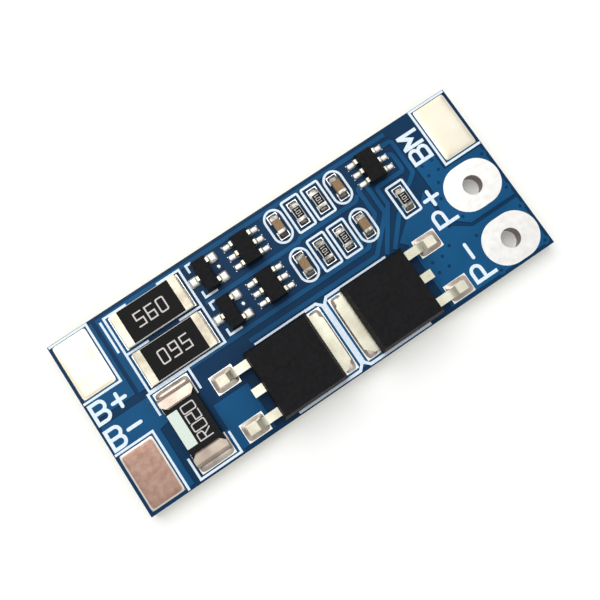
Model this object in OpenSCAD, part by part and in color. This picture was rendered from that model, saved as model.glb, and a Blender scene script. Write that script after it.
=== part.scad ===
// Two-cell battery management board, assembled.
// Origin: centre of the underside. +X: towards the load pads. +Y: towards the chip rows. +Z: up.

/* [Board] */
// Length of the board
board_l = 40; // [40:0.5:60]
// Width of the board
board_w = 16.2; // [16.2:0.1:26]
// Thickness of the glass-epoxy laminate
laminate_t = 1.45; // [0.8:0.05:2.4]
// Thickness of the underside coat and of the underside lands
under_t = 0.05; // [0.03:0.01:0.1]
// Thickness of the copper runs
copper_t = 0.07; // [0.04:0.01:0.14]
// Thickness of the solder resist
resist_t = 0.03; // [0.02:0.01:0.06]
// Height of the tinned lands above the resist
tin_rise = 0.03; // [0.02:0.01:0.06]
// Distance between the copper and the board's edge
edge_gap = 0.35; // [0.25:0.05:0.6]
// Gap between two copper areas
pour_gap = 0.4; // [0.3:0.05:0.5]
// Grid on which the free corners of the copper and the legend are drawn
grid = 0.1; // [0.05:0.01:0.15]
// Copper left beyond the lands of a pour
pour_rim = 0.1; // [0.05:0.01:0.15]
// Width of a signal run
run_w = 0.34; // [0.2:0.02:0.4]

/* [Legend] */
// Thickness of the ink above the resist
ink_t = 0.02; // [0.01:0.005:0.03]
// Width of a printed line
ink_w = 0.2; // [0.14:0.02:0.24]
// Gap between a printed line and the land that it runs round
ink_gap = 0.12; // [0.05:0.01:0.16]
// Length of the open stretch in a balance resistor's frame
frame_break = 2.98; // [2:0.1:4]
// Distance from a transistor body's lead side to the start of its frame
frame_start = 1.25; // [1:0.05:1.5]
// Bevel at the corners of a transistor's frame
frame_bevel = 0.4; // [0.2:0.05:0.6]
// Length of the legs of the brackets round the shunt
bracket_l = 1.95; // [1.5:0.05:2.4]

/* [Battery pads] */
// Length of a battery pad along X
cell_pad_l = 3.15; // [2.4:0.05:3.4]
// Width of a battery pad along Y
cell_pad_w = 5.15; // [4:0.05:5.3]
// Distance from a battery pad to the board's edges
cell_pad_inset = 0.3; // [0.2:0.05:0.5]
// Height of the tin dome on a battery pad
cell_crown = 0.11; // [0.05:0.01:0.2]
// Flat rim round the tin dome
cell_rim = 0.24; // [0.15:0.01:0.4]

/* [Load pads] */
// Length of a load pad along X
load_pad_l = 5.17; // [4.6:0.01:5.4]
// Width of a load pad, twice its end radius
load_pad_w = 4.16; // [3.6:0.02:4.4]
// Finished diameter of the plated wire hole
wire_hole_d = 1.74; // [1:0.02:2.2]
// Wall of the hole's plating
plating_t = 0.05; // [0.03:0.01:0.1]
// Distance from a load pad to the board's edges
load_pad_inset = 0.25; // [0.2:0.01:0.35]
// Gap between the two load pads
load_gap = 1.34; // [1.2:0.02:1.6]
// Gap between the upper load pad and the battery pad above it
load_up_gap = 0.84; // [0.7:0.02:1]

/* [Vias] */
// Drilled diameter of a via
via_d = 0.5; // [0.4:0.02:0.56]
// Open diameter inside a via's plating
via_bore = 0.3; // [0.16:0.02:0.34]
// Diameter of the copper ring round a via
via_land_d = 0.72; // [0.66:0.02:0.9]
// Depth of the dimple where the resist spans a via
via_dimple = 0.02; // [0.01:0.005:0.025]
// Distance between the vias of a group
via_pitch = 1; // [0.9:0.01:1.1]
// Gap between a via's hole and the nearest land
via_clear = 0.06; // [0.04:0.01:0.1]

/* [Power transistors] */
// Length of the moulded body along X
fet_body_l = 6.1; // [5.9:0.05:6.2]
// Width of the moulded body
fet_body_w = 6.35; // [6.2:0.05:6.6]
// Height of the moulded body
fet_body_h = 2.3; // [2:0.05:2.6]
// Draft of the body's upper sides
fet_draft = 0.27; // [0.1:0.01:0.35]
// Width of the drain tab
fet_tab_w = 5.4; // [4.8:0.05:5.6]
// Thickness of the drain tab and of the leads
fet_metal_t = 0.5; // [0.4:0.02:0.6]
// Length of the drain tab outside the body
fet_tab_out = 1.05; // [0.8:0.05:1.1]
// Chamfer at the corners of the drain tab
fet_tab_chamfer = 0.68; // [0.3:0.02:0.8]
// Width of a lead
fet_lead_w = 0.78; // [0.6:0.02:0.9]
// Distance from the centre of the gate lead to the centre of the source lead
fet_lead_pitch = 4.57; // [4.4:0.01:4.7]
// Reach of a lead from the body to its toe
fet_lead_out = 2.95; // [2.8:0.05:3]
// Length of a lead's flat shoulder
fet_shoulder = 1.3; // [1.1:0.05:1.4]
// Length of a lead's flat foot
fet_foot = 1.1; // [0.9:0.05:1.2]
// Height of a lead's centre line where it leaves the body
fet_lead_z = 1.08; // [0.95:0.01:1.3]
// Length of the cut middle lead outside the body
fet_stub_out = 0.97; // [0.6:0.01:1.1]
// Width of a drain tab's land
fet_tab_land_w = 6; // [5.7:0.05:6.1]
// Length of a drain tab's land
fet_tab_land_l = 6.1; // [5:0.05:6.4]
// Length of a lead's land
fet_lead_land_l = 2.19; // [1.9:0.01:2.3]
// Width of a lead's land
fet_lead_land_w = 1.7; // [1.3:0.02:1.8]
// Land left open beyond a drain tab
fet_land_out = 0.2; // [0.15:0.01:0.24]
// Land left open beyond a lead's toe
fet_toe_land = 0.49; // [0.4:0.01:0.55]
// Gap between the two drain tabs
fet_tab_gap = 1.31; // [1.25:0.01:1.6]
// Width of the printed band between the two transistors
fet_band_w = 0.5; // [0.4:0.02:0.56]
// Gap between a body and the middle of its printed frame
fet_frame_gap = 0.125; // [0.1:0.005:0.2]
// Gap between the printed frame and the board's lower edge
fet_edge_gap = 0.125; // [0.1:0.005:0.2]
// Gap between the first transistor's lands and the shunt's
fet_shunt_gap = 1.205; // [1.1:0.005:1.4]
// Gap between the second transistor's lands and the load pad
fet_load_gap = 2.42; // [2.2:0.02:2.6]
// Gap between the printed frame and the chip part frames above it
fet_chip_gap = 1.505; // [1.4:0.005:1.6]

/* [Current shunt] */
// Length of the shunt along Y
shunt_l = 6.54; // [6.2:0.02:6.6]
// Width of the shunt
shunt_w = 3.1; // [2.8:0.05:3.2]
// Height of the coated element
shunt_h = 0.62; // [0.4:0.02:0.9]
// Thickness of a terminal above the element
shunt_terminal_t = 0.24; // [0.15:0.01:0.35]
// Length of a terminal along the shunt
shunt_terminal_l = 1.22; // [1:0.02:1.4]
// Wall of a terminal at the shunt's end
shunt_wall = 0.3; // [0.2:0.02:0.5]
// Gap between the shunt's lands and the battery pad
shunt_pad_gap = 1.745; // [1.6:0.005:1.9]
// Gap between the lower land and the board's edge
shunt_edge_gap = 0.5; // [0.4:0.01:0.6]
// Length of a shunt land
shunt_land_l = 1.9; // [1.6:0.05:2.1]
// Width of a shunt land
shunt_land_w = 3.27; // [3.25:0.01:3.4]
// Land left open beyond a terminal
shunt_land_out = 0.52; // [0.4:0.01:0.54]

/* [Balance resistors] */
// Length of a balance resistor along X
balance_l = 6.35; // [6.1:0.05:6.5]
// Width of a balance resistor
balance_w = 3.1; // [2.8:0.05:3.16]
// Thickness of the ceramic
balance_h = 0.55; // [0.4:0.02:0.7]
// Length of an end cap on the top face
balance_band = 0.72; // [0.5:0.02:0.9]
// Land left open beyond an end cap
balance_land_out = 0.18; // [0.1:0.01:0.2]
// Gap between the resistors' lands and the battery pad
balance_pad_gap = 1.995; // [1.9:0.005:2.1]
// Gap between the first resistor and the board's upper edge
balance_edge_gap = 0.81; // [0.7:0.01:0.9]
// Gap between the two resistors
balance_gap = 0.56; // [0.5:0.01:0.6]
// Gap between the second resistor and the shunt's land
balance_shunt_gap = 0.55; // [0.5:0.01:0.6]
// Length of a balance resistor's land
balance_land_l = 1.5; // [1.2:0.05:1.8]

/* [Small transistors and chips] */
// Length of a moulded body along Y
sot_body_l = 2.9; // [2.7:0.02:3]
// Width of a three-lead body
sot3_body_w = 1.3; // [1.2:0.02:1.4]
// Height of a three-lead body
sot3_body_h = 0.95; // [0.8:0.05:1.1]
// Width of a six-lead body
sot6_body_w = 1.6; // [1.5:0.02:1.7]
// Height of a six-lead body
sot6_body_h = 1.05; // [0.9:0.05:1.3]
// Gap between a body and the lands
sot_standoff = 0.08; // [0.05:0.01:0.15]
// Draft of a body's sides
sot_draft = 0.1; // [0.05:0.01:0.16]
// Pitch of the leads
sot_pitch = 0.95; // [0.9:0.01:1]
// Width of a lead
sot_lead_w = 0.4; // [0.3:0.02:0.44]
// Thickness of a lead
sot_lead_t = 0.14; // [0.1:0.01:0.18]
// Reach of a lead from the body to its toe
sot_lead_out = 0.62; // [0.55:0.01:0.66]
// Length of a lead's flat foot
sot_foot = 0.3; // [0.2:0.01:0.32]
// Length of a lead's land
sot_land_l = 0.95; // [0.8:0.01:1]
// Width of a lead's land
sot_land_w = 0.54; // [0.5:0.01:0.6]
// Land left open beyond a toe
sot_land_out = 0.34; // [0.2:0.01:0.36]
// Gap between the small transistors' lands and the balance resistors'
sot3_gap = 0.435; // [0.4:0.005:0.5]
// Gap between the lands of the small transistors and the chips beside them
sot6_gap = 0.63; // [0.55:0.01:0.7]
// Gap between a chip's lands and the frames of the chip parts
sot_chip_gap = 0.61; // [0.55:0.01:0.7]
// Gap between the third chip's lands and the battery pad
sot_pad_gap = 3.97; // [3.8:0.01:4.1]
// Gap between the first row of bodies and the board's upper edge
sot_edge_gap = 0.78; // [0.7:0.01:0.9]
// Gap between the two rows of bodies
sot_row_gap = 0.84; // [0.8:0.01:0.9]
// Gap between the second row of bodies and the transistors' frame
sot_fet_gap = 1.805; // [1.7:0.005:1.9]

/* [Chip parts] */
// Length of a small capacitor or resistor along Y
chip_l = 1.6; // [1.5:0.02:1.7]
// Width of a small capacitor or resistor
chip_w = 0.82; // [0.7:0.02:0.9]
// Height of a small capacitor's ceramic
capacitor_h = 0.7; // [0.5:0.02:0.85]
// Height of a small resistor's ceramic
resistor_h = 0.4; // [0.3:0.02:0.5]
// Length of an end cap
chip_band = 0.32; // [0.2:0.01:0.4]
// Thickness of an end cap
chip_end_t = 0.04; // [0.02:0.01:0.06]
// Thickness of a resistor's black coat
coat_t = 0.03; // [0.01:0.01:0.05]
// Length of a chip part's land
chip_land_l = 0.76; // [0.6:0.02:0.8]
// Width of a chip part's land
chip_land_w = 0.94; // [0.92:0.01:1]
// Land left open beyond an end cap
chip_land_out = 0.38; // [0.3:0.01:0.4]
// Gap between a chip part's land and its printed frame
chip_frame_gap = 0.24; // [0.2:0.01:0.3]
// Gap between the frames of two columns
chip_gap = 0.2; // [0.15:0.01:0.25]
// Gap between the frames of the two rows
chip_row_gap = 0.7; // [0.6:0.02:0.8]
// Gap between the upper row's frames and the board's upper edge
chip_edge_gap = 0.54; // [0.45:0.01:0.6]
// Gap between the last column and the lone resistor's frame
lone_gap = 2.24; // [2:0.02:2.5]
// Gap between the lone resistor's frame and the load pad
lone_load_gap = 2.07; // [1.9:0.01:2.2]

/* [Solder] */
// Height of the solder at a power lead or tab
solder_h = 0.3; // [0.2:0.02:0.34]
// Height of the solder at a chip part or a chip's lead
small_solder_h = 0.2; // [0.1:0.02:0.26]
// Rim of bare land round the solder
solder_rim = 0.05; // [0.03:0.01:0.08]

/* [Hidden] */

// Board edges
left = -board_l / 2;
right = board_l / 2;
top = board_w / 2;
bottom = -board_w / 2;

// Levels, from the underside up
z_lam = under_t + laminate_t;
z_cu = z_lam + copper_t;
z_bare = z_lam + resist_t;
z_coat = z_cu + resist_t;
z_ink = z_coat + ink_t;
z_land = z_coat + tin_rise;

// Power transistors: each is drawn with its drain tab's end at x = 0 and its body towards -X
fet_body_near = -fet_tab_out;
fet_body_far = -fet_tab_out - fet_body_l;
fet_toe = fet_body_far - fet_lead_out;
fet_land_far = fet_toe - fet_toe_land;
fet_frame_half = fet_body_w / 2 + fet_frame_gap;
fet_embed = 0.9;
fet_bend_r = 0.4;
sot_embed = 0.25;
sot_bend_r = 0.1;

// Overall sizes of what stands in the rows: lands, or the printed frame where there is one
shunt_full_l = shunt_l + 2 * shunt_land_out;
balance_full_l = balance_l + 2 * balance_land_out;
sot3_full_w = sot3_body_w + 2 * (sot_lead_out + sot_land_out);
sot6_full_w = sot6_body_w + 2 * (sot_lead_out + sot_land_out);
chip_full_w = chip_land_w + 2 * chip_frame_gap + 2 * ink_w;
chip_full_l = chip_l + 2 * chip_land_out + 2 * chip_frame_gap + 2 * ink_w;
fet_full_w = 2 * fet_frame_half + fet_band_w / 2;

// Along the board: the lower row, from the battery pad to the load pad, and the upper row,
// from one battery pad to the other. Each value is the left end of a part.
lower_row = row([cell_pad_l, shunt_land_w, -fet_land_far, -fet_land_far, load_pad_l],
                [0, shunt_pad_gap, fet_shunt_gap, fet_tab_gap, fet_load_gap, 0],
                left + cell_pad_inset, right - load_pad_inset);
upper_row = row([cell_pad_l, balance_full_l, sot3_full_w, sot6_full_w, chip_full_w, chip_full_w,
                 chip_full_w, chip_full_w, sot6_full_w, cell_pad_l],
                [0, balance_pad_gap, sot3_gap, sot6_gap, sot_chip_gap, chip_gap, chip_gap,
                 chip_gap, sot_chip_gap, sot_pad_gap, 0],
                left + cell_pad_inset, right - cell_pad_inset);

// Across the board, each from the lower edge up
left_column = row([shunt_full_l, balance_w, balance_w],
                  [shunt_edge_gap, balance_shunt_gap, balance_gap, balance_edge_gap], bottom, top);
chip_column = row([fet_full_w, chip_full_l, chip_full_l],
                  [fet_edge_gap, fet_chip_gap, chip_row_gap, chip_edge_gap], bottom, top);
sot_column = row([fet_full_w, sot_body_l, sot_body_l],
                 [fet_edge_gap, sot_fet_gap, sot_row_gap, sot_edge_gap], bottom, top);
load_column = row([load_pad_w, load_pad_w, cell_pad_w], [0, load_gap, load_up_gap, 0],
                  bottom + load_pad_inset, top - cell_pad_inset);

// Battery pads and load pads
cell_x = left + cell_pad_inset + cell_pad_l / 2;
cell_y_up = top - cell_pad_inset - cell_pad_w / 2;
cell_y_low = bottom + cell_pad_inset + cell_pad_w / 2;
middle_x = right - cell_pad_inset - cell_pad_l / 2;
load_x = right - load_pad_inset - load_pad_l / 2;
load_y_low = load_column[0] + load_pad_w / 2;
load_y_up = load_column[1] + load_pad_w / 2;
barrel_d = wire_hole_d + 2 * plating_t;

// Power transistors: where the two drain tabs end, and the middle line of both
q1_x = lower_row[2] - fet_land_far;
q2_x = lower_row[3];
fet_y = chip_column[0] + fet_full_w / 2;

// Shunt, balance resistors, chip rows
shunt_c = [lower_row[1] + shunt_land_w / 2, left_column[0] + shunt_full_l / 2];
balance_c = [for (i = [2, 1]) [upper_row[1] + balance_full_l / 2, left_column[i] + balance_w / 2]];
sot_y = [for (i = [2, 1]) sot_column[i] + sot_body_l / 2];
sot3_c = [for (y = sot_y) [upper_row[2] + sot3_full_w / 2, y]];
sot6_c = [[upper_row[3] + sot6_full_w / 2, sot_y[0]], [upper_row[3] + sot6_full_w / 2, sot_y[1]],
          [upper_row[8] + sot6_full_w / 2, sot_y[0]]];

// Chip parts: capacitors stand in the outer columns, resistors between them
column_x = [for (i = [4:7]) upper_row[i] + chip_full_w / 2];
chip_y = [for (i = [2, 1]) chip_column[i] + chip_full_l / 2];
lone_x = row([chip_full_w], [lone_gap, lone_load_gap], upper_row[7] + chip_full_w,
             lower_row[4])[0] + chip_full_w / 2;
capacitor_c = [[column_x[0], chip_y[0]], [column_x[3], chip_y[0]],
               [column_x[0], chip_y[1]], [column_x[3], chip_y[1]]];
resistor_c = [[column_x[1], chip_y[0]], [column_x[2], chip_y[0]],
              [column_x[1], chip_y[1]], [column_x[2], chip_y[1]], [lone_x, chip_y[1]]];

// Vias: round each load pad, in two groups of four, and singly beside the lands that they serve
via_reach = via_d / 2 + via_clear;
via_ring = [load_pad_l / 2 - via_reach, load_pad_w / 2 - via_reach];
pad_vias = [middle_x - cell_pad_l / 2 - via_pitch, cell_y_up - cell_pad_w / 2 + via_pitch * 0.8];
source_vias = [q2_x - fet_toe - via_pitch * 0.2, fet_y + via_pitch * 0.7];
via_c = concat(
    [for (y = [load_y_low, load_y_up], sx = [-1, 1], sy = [-1, 1])
        [load_x + sx * via_ring[0], y + sy * via_ring[1]]],
    [for (first = [pad_vias, source_vias], i = [0, 1], j = [0, 1]) first - via_pitch * [i, j]],
    [[load_x - load_pad_l / 2 - via_reach, load_y_up + via_pitch / 2],
     [q2_x - fet_land_far + via_reach, fet_y + (fet_lead_pitch - fet_lead_land_w) / 2 - via_reach]],
    [for (c = sot3_c) c + [(sot3_full_w - via_land_d) / 2, 0]],
    [for (c = [[column_x[1], -1], [column_x[2], 1]])
        [c[0] + c[1] * (chip_land_w / 2 + via_reach), chip_y[1] - via_pitch * 0.9]]);

// ---------------------------------------------------------------------------------- functions

// Sum of the first n values
function total(v, n) = n == 0 ? 0 : v[n - 1] + total(v, n - 1);

// Where each part of a row starts. The parts keep their sizes, and the gaps before, between and
// after them share the room that is left, each in its proportion.
function row(parts, gaps, from, to) =
    let (n = len(parts),
         share = (to - from - total(parts, n)) / total(gaps, n + 1))
    [for (i = [0:n - 1]) from + total(parts, i) + share * total(gaps, i + 1)];

// Unit vector from a to b
function unit(a, b) = (b - a) / norm(b - a);
// A vector turned by an angle, anticlockwise
function turned(v, a) = [v[0] * cos(a) - v[1] * sin(a), v[0] * sin(a) + v[1] * cos(a)];
function dot(u, v) = u[0] * v[0] + u[1] * v[1];
function cross_z(u, v) = u[0] * v[1] - u[1] * v[0];

// The arc that rounds corner p between its neighbours a and b, with radius r in n steps
function corner_arc(a, p, b, r, n) =
    let (u = unit(p, a), v = unit(p, b),
         half = acos(dot(u, v)) / 2,
         centre = p + (u + v) / norm(u + v) * r / sin(half),
         start = p + u * r / tan(half) - centre,
         sweep = (180 - 2 * half) * sign(cross_z(v, u)))
    [for (i = [0:n]) centre + turned(start, sweep * i / n)];

// A path with every inner corner rounded
function round_path(p, r, n = 5) =
    let (last = len(p) - 1)
    concat([p[0]],
           [for (i = [1:last - 1], q = corner_arc(p[i - 1], p[i], p[i + 1], r, n)) q],
           [p[last]]);

// The sideways step at point i of a path, for an outline a distance d to its left
function side_step(p, i, d) =
    let (last = len(p) - 1,
         u = unit(p[max(i - 1, 0)], p[max(i, 1)]),
         v = unit(p[min(i, last - 1)], p[min(i + 1, last)]),
         m = [-u[1] - v[1], u[0] + v[0]])
    m * 2 * d / dot(m, m);

// The outline of a strip of width w along a path
function strip(p, w) =
    let (last = len(p) - 1)
    concat([for (i = [0:last]) p[i] + side_step(p, i, w / 2)],
           [for (i = [last:-1:0]) p[i] - side_step(p, i, w / 2)]);

// A strip that is also lengthened by g at both ends and widened by g on both sides
function grown_strip(p, w, g) =
    let (last = len(p) - 1,
         first_p = p[0] + unit(p[1], p[0]) * g,
         last_p = p[last] + unit(p[last - 1], p[last]) * g)
    strip([for (i = [0:last]) i == 0 ? first_p : i == last ? last_p : p[i]], w + 2 * g);

// An anticlockwise outline with each side moved out by g
function grown_outline(p, g) =
    let (n = len(p))
    [for (i = [0:n - 1])
        let (u = unit(p[(i + n - 1) % n], p[i]), v = unit(p[i], p[(i + 1) % n]),
             m = [u[1] + v[1], -u[0] - v[0]])
        p[i] + m * 2 * g / dot(m, m)];

// A rectangle centred on the origin, with rounded corners
function round_rect(l, w, r, n = 4) =
    [for (k = [0:3], i = [0:n])
        let (sx = k == 0 || k == 3 ? 1 : -1, sy = k < 2 ? 1 : -1)
        [sx * (l / 2 - r), sy * (w / 2 - r)] + turned([r, 0], 90 * k + 90 * i / n)];

// A mound in profile: from the land up a hollow slope, along a flat top and down again
function mound(l, reach, h, n = 5) =
    concat([for (i = [0:n]) [-l / 2 + reach * sin(90 * i / n), h * (1 - cos(90 * i / n))]],
           [for (i = [n:-1:0]) [l / 2 - reach * sin(90 * i / n), h * (1 - cos(90 * i / n))]]);

// A dome in profile: a flat arch of height h over a width l
function arch(l, h, n = 10) =
    [for (i = [0:n]) [l / 2 * cos(180 * i / n), h * pow(sin(180 * i / n), 0.6)]];

// A drafted body in profile: bottom edge, parting line and top edge
function drafted(w, z0, parting, z1, under, over) =
    [[w / 2 - under, z0], [w / 2, parting], [w / 2 - over, z1],
     [-w / 2 + over, z1], [-w / 2, parting], [-w / 2 + under, z0]];

// ------------------------------------------------------------------------------ basic solids

// An outline drawn in X and Z, extruded along Y about the middle
module along_y(points, w) {
    rotate([90, 0, 0])
        translate([0, 0, -w / 2])
            linear_extrude(w) polygon(points);
}

// An outline drawn in Y and Z, extruded along X about the middle
module along_x(points, l) {
    rotate([90, 0, 90])
        translate([0, 0, -l / 2])
            linear_extrude(l) polygon(points);
}

// A flat sheet of a 2D shape between two levels
module sheet(z0, z1) {
    translate([0, 0, z0]) linear_extrude(z1 - z0) children();
}

// A block standing on z = 0 with every edge rounded
module soft_block(l, w, h, r) {
    intersection() {
        linear_extrude(h) polygon(round_rect(l, w, r));
        translate([0, 0, h / 2]) along_y(round_rect(l, h, r), w);
        translate([0, 0, h / 2]) along_x(round_rect(w, h, r), l);
    }
}

// A moulded body with drafted sides
module moulded(l, w, z0, parting, z1, under, over) {
    intersection() {
        along_y(drafted(l, z0, parting, z1, under, over), w + 1);
        along_x(drafted(w, z0, parting, z1, under, over), l + 1);
    }
}

module rect_at(c, l, w) {
    translate([c[0] - l / 2, c[1] - w / 2]) square([l, w]);
}

// An obround: a square with a round end at each side
module obround(l, w) {
    translate([-(l - w) / 2, -w / 2]) square([l - w, w]);
    for (s = [-1, 1]) translate([s * (l - w) / 2, 0]) circle(d = w, $fn = 64);
}

// ------------------------------------------------------------------------------------- places

module at_q1() {
    translate([q1_x, fet_y, 0]) children();
}

module at_q2() {
    translate([q2_x, fet_y, 0]) mirror([1, 0, 0]) children();
}

module at_fets() {
    at_q1() children();
    at_q2() children();
}

module at_point(c, z = 0) {
    translate([c[0], c[1], z]) children();
}

// The two ends of a chip part that lies along Y, with +X pointing out of the end
module at_ends(l) {
    for (a = [90, -90]) rotate(a) translate([l / 2, 0, 0]) children();
}

// The lead places of a chip, with +X pointing away from the body
module at_sot3_leads() {
    rotate(180) translate([sot3_body_w / 2, 0, 0]) children();
    for (s = [-1, 1]) translate([sot3_body_w / 2, s * sot_pitch, 0]) children();
}

module at_sot6_leads() {
    for (side = [0, 180], i = [-1:1])
        rotate(side) translate([sot6_body_w / 2, i * sot_pitch, 0]) children();
}

// -------------------------------------------------------------------------------- flat shapes

module fet_tab_land() {
    translate([fet_land_out - fet_tab_land_l, -fet_tab_land_w / 2])
        square([fet_tab_land_l, fet_tab_land_w]);
}

module fet_lead_lands() {
    for (s = [-1, 1])
        translate([fet_land_far, s * fet_lead_pitch / 2 - fet_lead_land_w / 2])
            square([fet_lead_land_l, fet_lead_land_w]);
}

module shunt_lands() {
    at_point(shunt_c) at_ends(shunt_l)
        translate([shunt_land_out - shunt_land_l, -shunt_land_w / 2])
            square([shunt_land_l, shunt_land_w]);
}

module balance_lands() {
    for (c = balance_c) at_point(c) rotate(90) at_ends(balance_l)
        translate([balance_land_out - balance_land_l, -balance_w / 2])
            square([balance_land_l, balance_w]);
}

module power_lands_2d() {
    at_fets() {
        fet_tab_land();
        fet_lead_lands();
    }
    shunt_lands();
    balance_lands();
}

module sot_land() {
    translate([sot_lead_out + sot_land_out - sot_land_l, -sot_land_w / 2])
        square([sot_land_l, sot_land_w]);
}

module signal_lands_2d() {
    for (c = sot3_c) at_point(c) at_sot3_leads() sot_land();
    for (c = sot6_c) at_point(c) at_sot6_leads() sot_land();
    for (c = concat(capacitor_c, resistor_c)) at_point(c) at_ends(chip_l)
        translate([chip_land_out - chip_land_l, -chip_land_w / 2])
            square([chip_land_l, chip_land_w]);
}

module pads_2d() {
    rect_at([cell_x, cell_y_up], cell_pad_l, cell_pad_w);
    rect_at([cell_x, cell_y_low], cell_pad_l, cell_pad_w);
    rect_at([middle_x, cell_y_up], cell_pad_l, cell_pad_w);
    load_pads_2d();
}

module load_pads_2d() {
    for (y = [load_y_low, load_y_up]) translate([load_x, y]) obround(load_pad_l, load_pad_w);
}

module via_circles(d) {
    for (c = via_c) translate(c) circle(d = d, $fn = 24);
}

// Copper areas, each an anticlockwise outline
function pours() =
    let (x0 = left + edge_gap, x1 = right - edge_gap, y0 = bottom + edge_gap, y1 = top - edge_gap,
         cell_half = cell_pad_w / 2,
         balance_x = upper_row[1],
         split_x = cell_x + cell_pad_l / 2 + 0.4 * (balance_x - cell_x - cell_pad_l / 2),
         shunt_l_x = shunt_c[0] - shunt_land_w / 2,
         shunt_r_x = shunt_c[0] + shunt_land_w / 2,
         shunt_up = shunt_c[1] + shunt_full_l / 2 + pour_rim,
         shunt_low = shunt_c[1] - shunt_full_l / 2 - pour_rim,
         shunt_in = shunt_full_l / 2 - shunt_land_l,
         source_x = q1_x + fet_land_far + fet_lead_land_l + 3 * pour_rim,
         source_up = fet_y + (fet_lead_pitch - fet_lead_land_w) / 2 - pour_gap,
         drain_x = fet_tab_land_l - fet_land_out + 6 * pour_rim,
         drain_y = fet_tab_land_w / 2 + 1.5 * pour_rim,
         out_x = q2_x - fet_toe - 20 * grid,
         load_l = load_x - load_pad_l / 2,
         load_split = (load_y_low + load_y_up) / 2,
         load_low = load_y_up - load_pad_w / 2 + pour_rim,
         middle_l = middle_x - cell_pad_l / 2,
         middle_low = cell_y_up - cell_half - pour_rim)
    [
        // B+ pad
        [[x0, shunt_up + 2 * pour_gap], [split_x - pour_gap / 2, shunt_up + 2 * pour_gap],
         [split_x - pour_gap / 2, y1], [x0, y1]],
        // B- pad and the upper end of the shunt
        [[x0, y0], [split_x, y0], [split_x, shunt_c[1] + shunt_in - 7 * grid],
         [shunt_r_x, shunt_c[1] + shunt_in], [shunt_r_x, shunt_up], [x0, shunt_up]],
        // Lower end of the shunt and the source of the first transistor
        [[shunt_l_x, shunt_low], [source_x, shunt_low], [source_x, source_up],
         [shunt_r_x + pour_gap, source_up], [shunt_r_x + pour_gap, shunt_c[1] - shunt_in],
         [shunt_l_x, shunt_c[1] - shunt_in]],
        // Common drain under both transistors
        [[q1_x - drain_x, fet_y - drain_y], [q2_x + drain_x, fet_y - drain_y],
         [q2_x + drain_x, fet_y + drain_y], [q1_x - drain_x, fet_y + drain_y]],
        // Left ends of the balance resistors
        [[split_x + pour_gap / 2, left_column[1] + 2.5 * pour_rim],
         [balance_x + balance_land_l, left_column[1] + 2.5 * pour_rim],
         [balance_x + balance_land_l, y1], [split_x + pour_gap / 2, y1]],
        // P- pad and the source of the second transistor
        [[out_x, y0], [x1, y0], [x1, load_split - pour_gap / 2],
         [load_l + 5 * grid, load_split - pour_gap / 2], [load_l - 9 * grid, load_low],
         [load_l - 13 * grid, load_low], [load_l - 13 * grid, load_y_up + 18 * grid],
         [load_l - 25 * grid, load_y_up + 6 * grid], [load_l - 38 * grid, load_y_up + 6 * grid],
         [out_x - 5 * grid, fet_y + 36 * grid], [out_x, fet_y + 31 * grid]],
        // P+ pad
        [[load_l + 6 * grid, load_split + pour_gap / 2], [x1, load_split + pour_gap / 2],
         [x1, middle_low - pour_gap], [middle_l - 6 * grid, middle_low - pour_gap],
         [middle_l - 6 * grid, middle_low + 11 * grid], [load_l - 5 * grid, middle_low + 11 * grid],
         [load_l - 5 * grid, load_y_up + 14 * grid], [load_l - 9 * grid, load_y_up + 8 * grid],
         [load_l - 9 * grid, load_low + 7 * grid]],
        // BM pad
        [[middle_l - pour_rim, middle_low], [x1, middle_low], [x1, y1], [middle_l - pour_rim, y1]]
    ];

// Signal runs, each a path along its centre line
function runs() =
    let (m = sot6_c[2], lone = resistor_c[4], lead = sot6_body_w / 2 + sot_lead_out,
         end = chip_l / 2,
         channel_low = chip_column[0] + fet_full_w,
         channel = chip_column[1] - channel_low,
         low_1 = channel_low + 0.86 * channel, low_2 = channel_low + 0.23 * channel,
         mid = (chip_column[1] + chip_full_l + chip_column[2]) / 2,
         fan = [m[0] - 20 * grid, m[0] - 12 * grid, m[0] - 6 * grid],
         last_x = column_x[3], chip_edge = last_x + chip_land_w / 2,
         start_1 = last_x - 8 * grid, start_2 = last_x - 6 * grid,
         edge_y = top - edge_gap - run_w / 2)
    [
        // Two long runs above the transistors, which fan up to the third chip
        [[balance_c[1][0], low_1], [start_1, low_1], [fan[0], low_1 + fan[0] - start_1],
         [fan[0], m[1] - sot_pitch], [m[0] - lead, m[1] - sot_pitch]],
        [[sot3_c[1][0], low_2], [start_2, low_2], [fan[1], low_2 + fan[1] - start_2],
         [fan[1], m[1] - sot_pitch]],
        // A run under the third chip and round its right side
        [[last_x + 2 * grid, channel_low], [fan[2], m[1] - 35 * grid], [fan[2], m[1] - 18 * grid],
         [m[0] + 22 * grid, m[1] - 18 * grid], [m[0] + 22 * grid, m[1]], [m[0] + lead, m[1]]],
        // To the lower end of the lone resistor
        [[last_x + 10 * grid, channel_low], [lone[0] - 10 * grid, lone[1] - end],
         [lone[0], lone[1] - end]],
        // The outer loop, from the third chip to the upper end of the lone resistor
        [[m[0] + lead, m[1] + sot_pitch], [m[0] + 28 * grid, m[1] + sot_pitch],
         [m[0] + 28 * grid, m[1] - 24 * grid], [m[0] + 19 * grid, lone[1] + end],
         [lone[0], lone[1] + end]],
        // Between the two rows of chips
        [[sot3_c[0][0] - 13 * grid, mid - grid], [column_x[0] + 7 * grid, mid - grid],
         [column_x[0] + 9 * grid, mid + grid], [chip_edge + grid, mid + grid],
         [chip_edge + 5 * grid, mid + 5 * grid]],
        // Along the upper edge
        [[upper_row[1], edge_y], [m[0] + 26 * grid, edge_y]]
    ];

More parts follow.
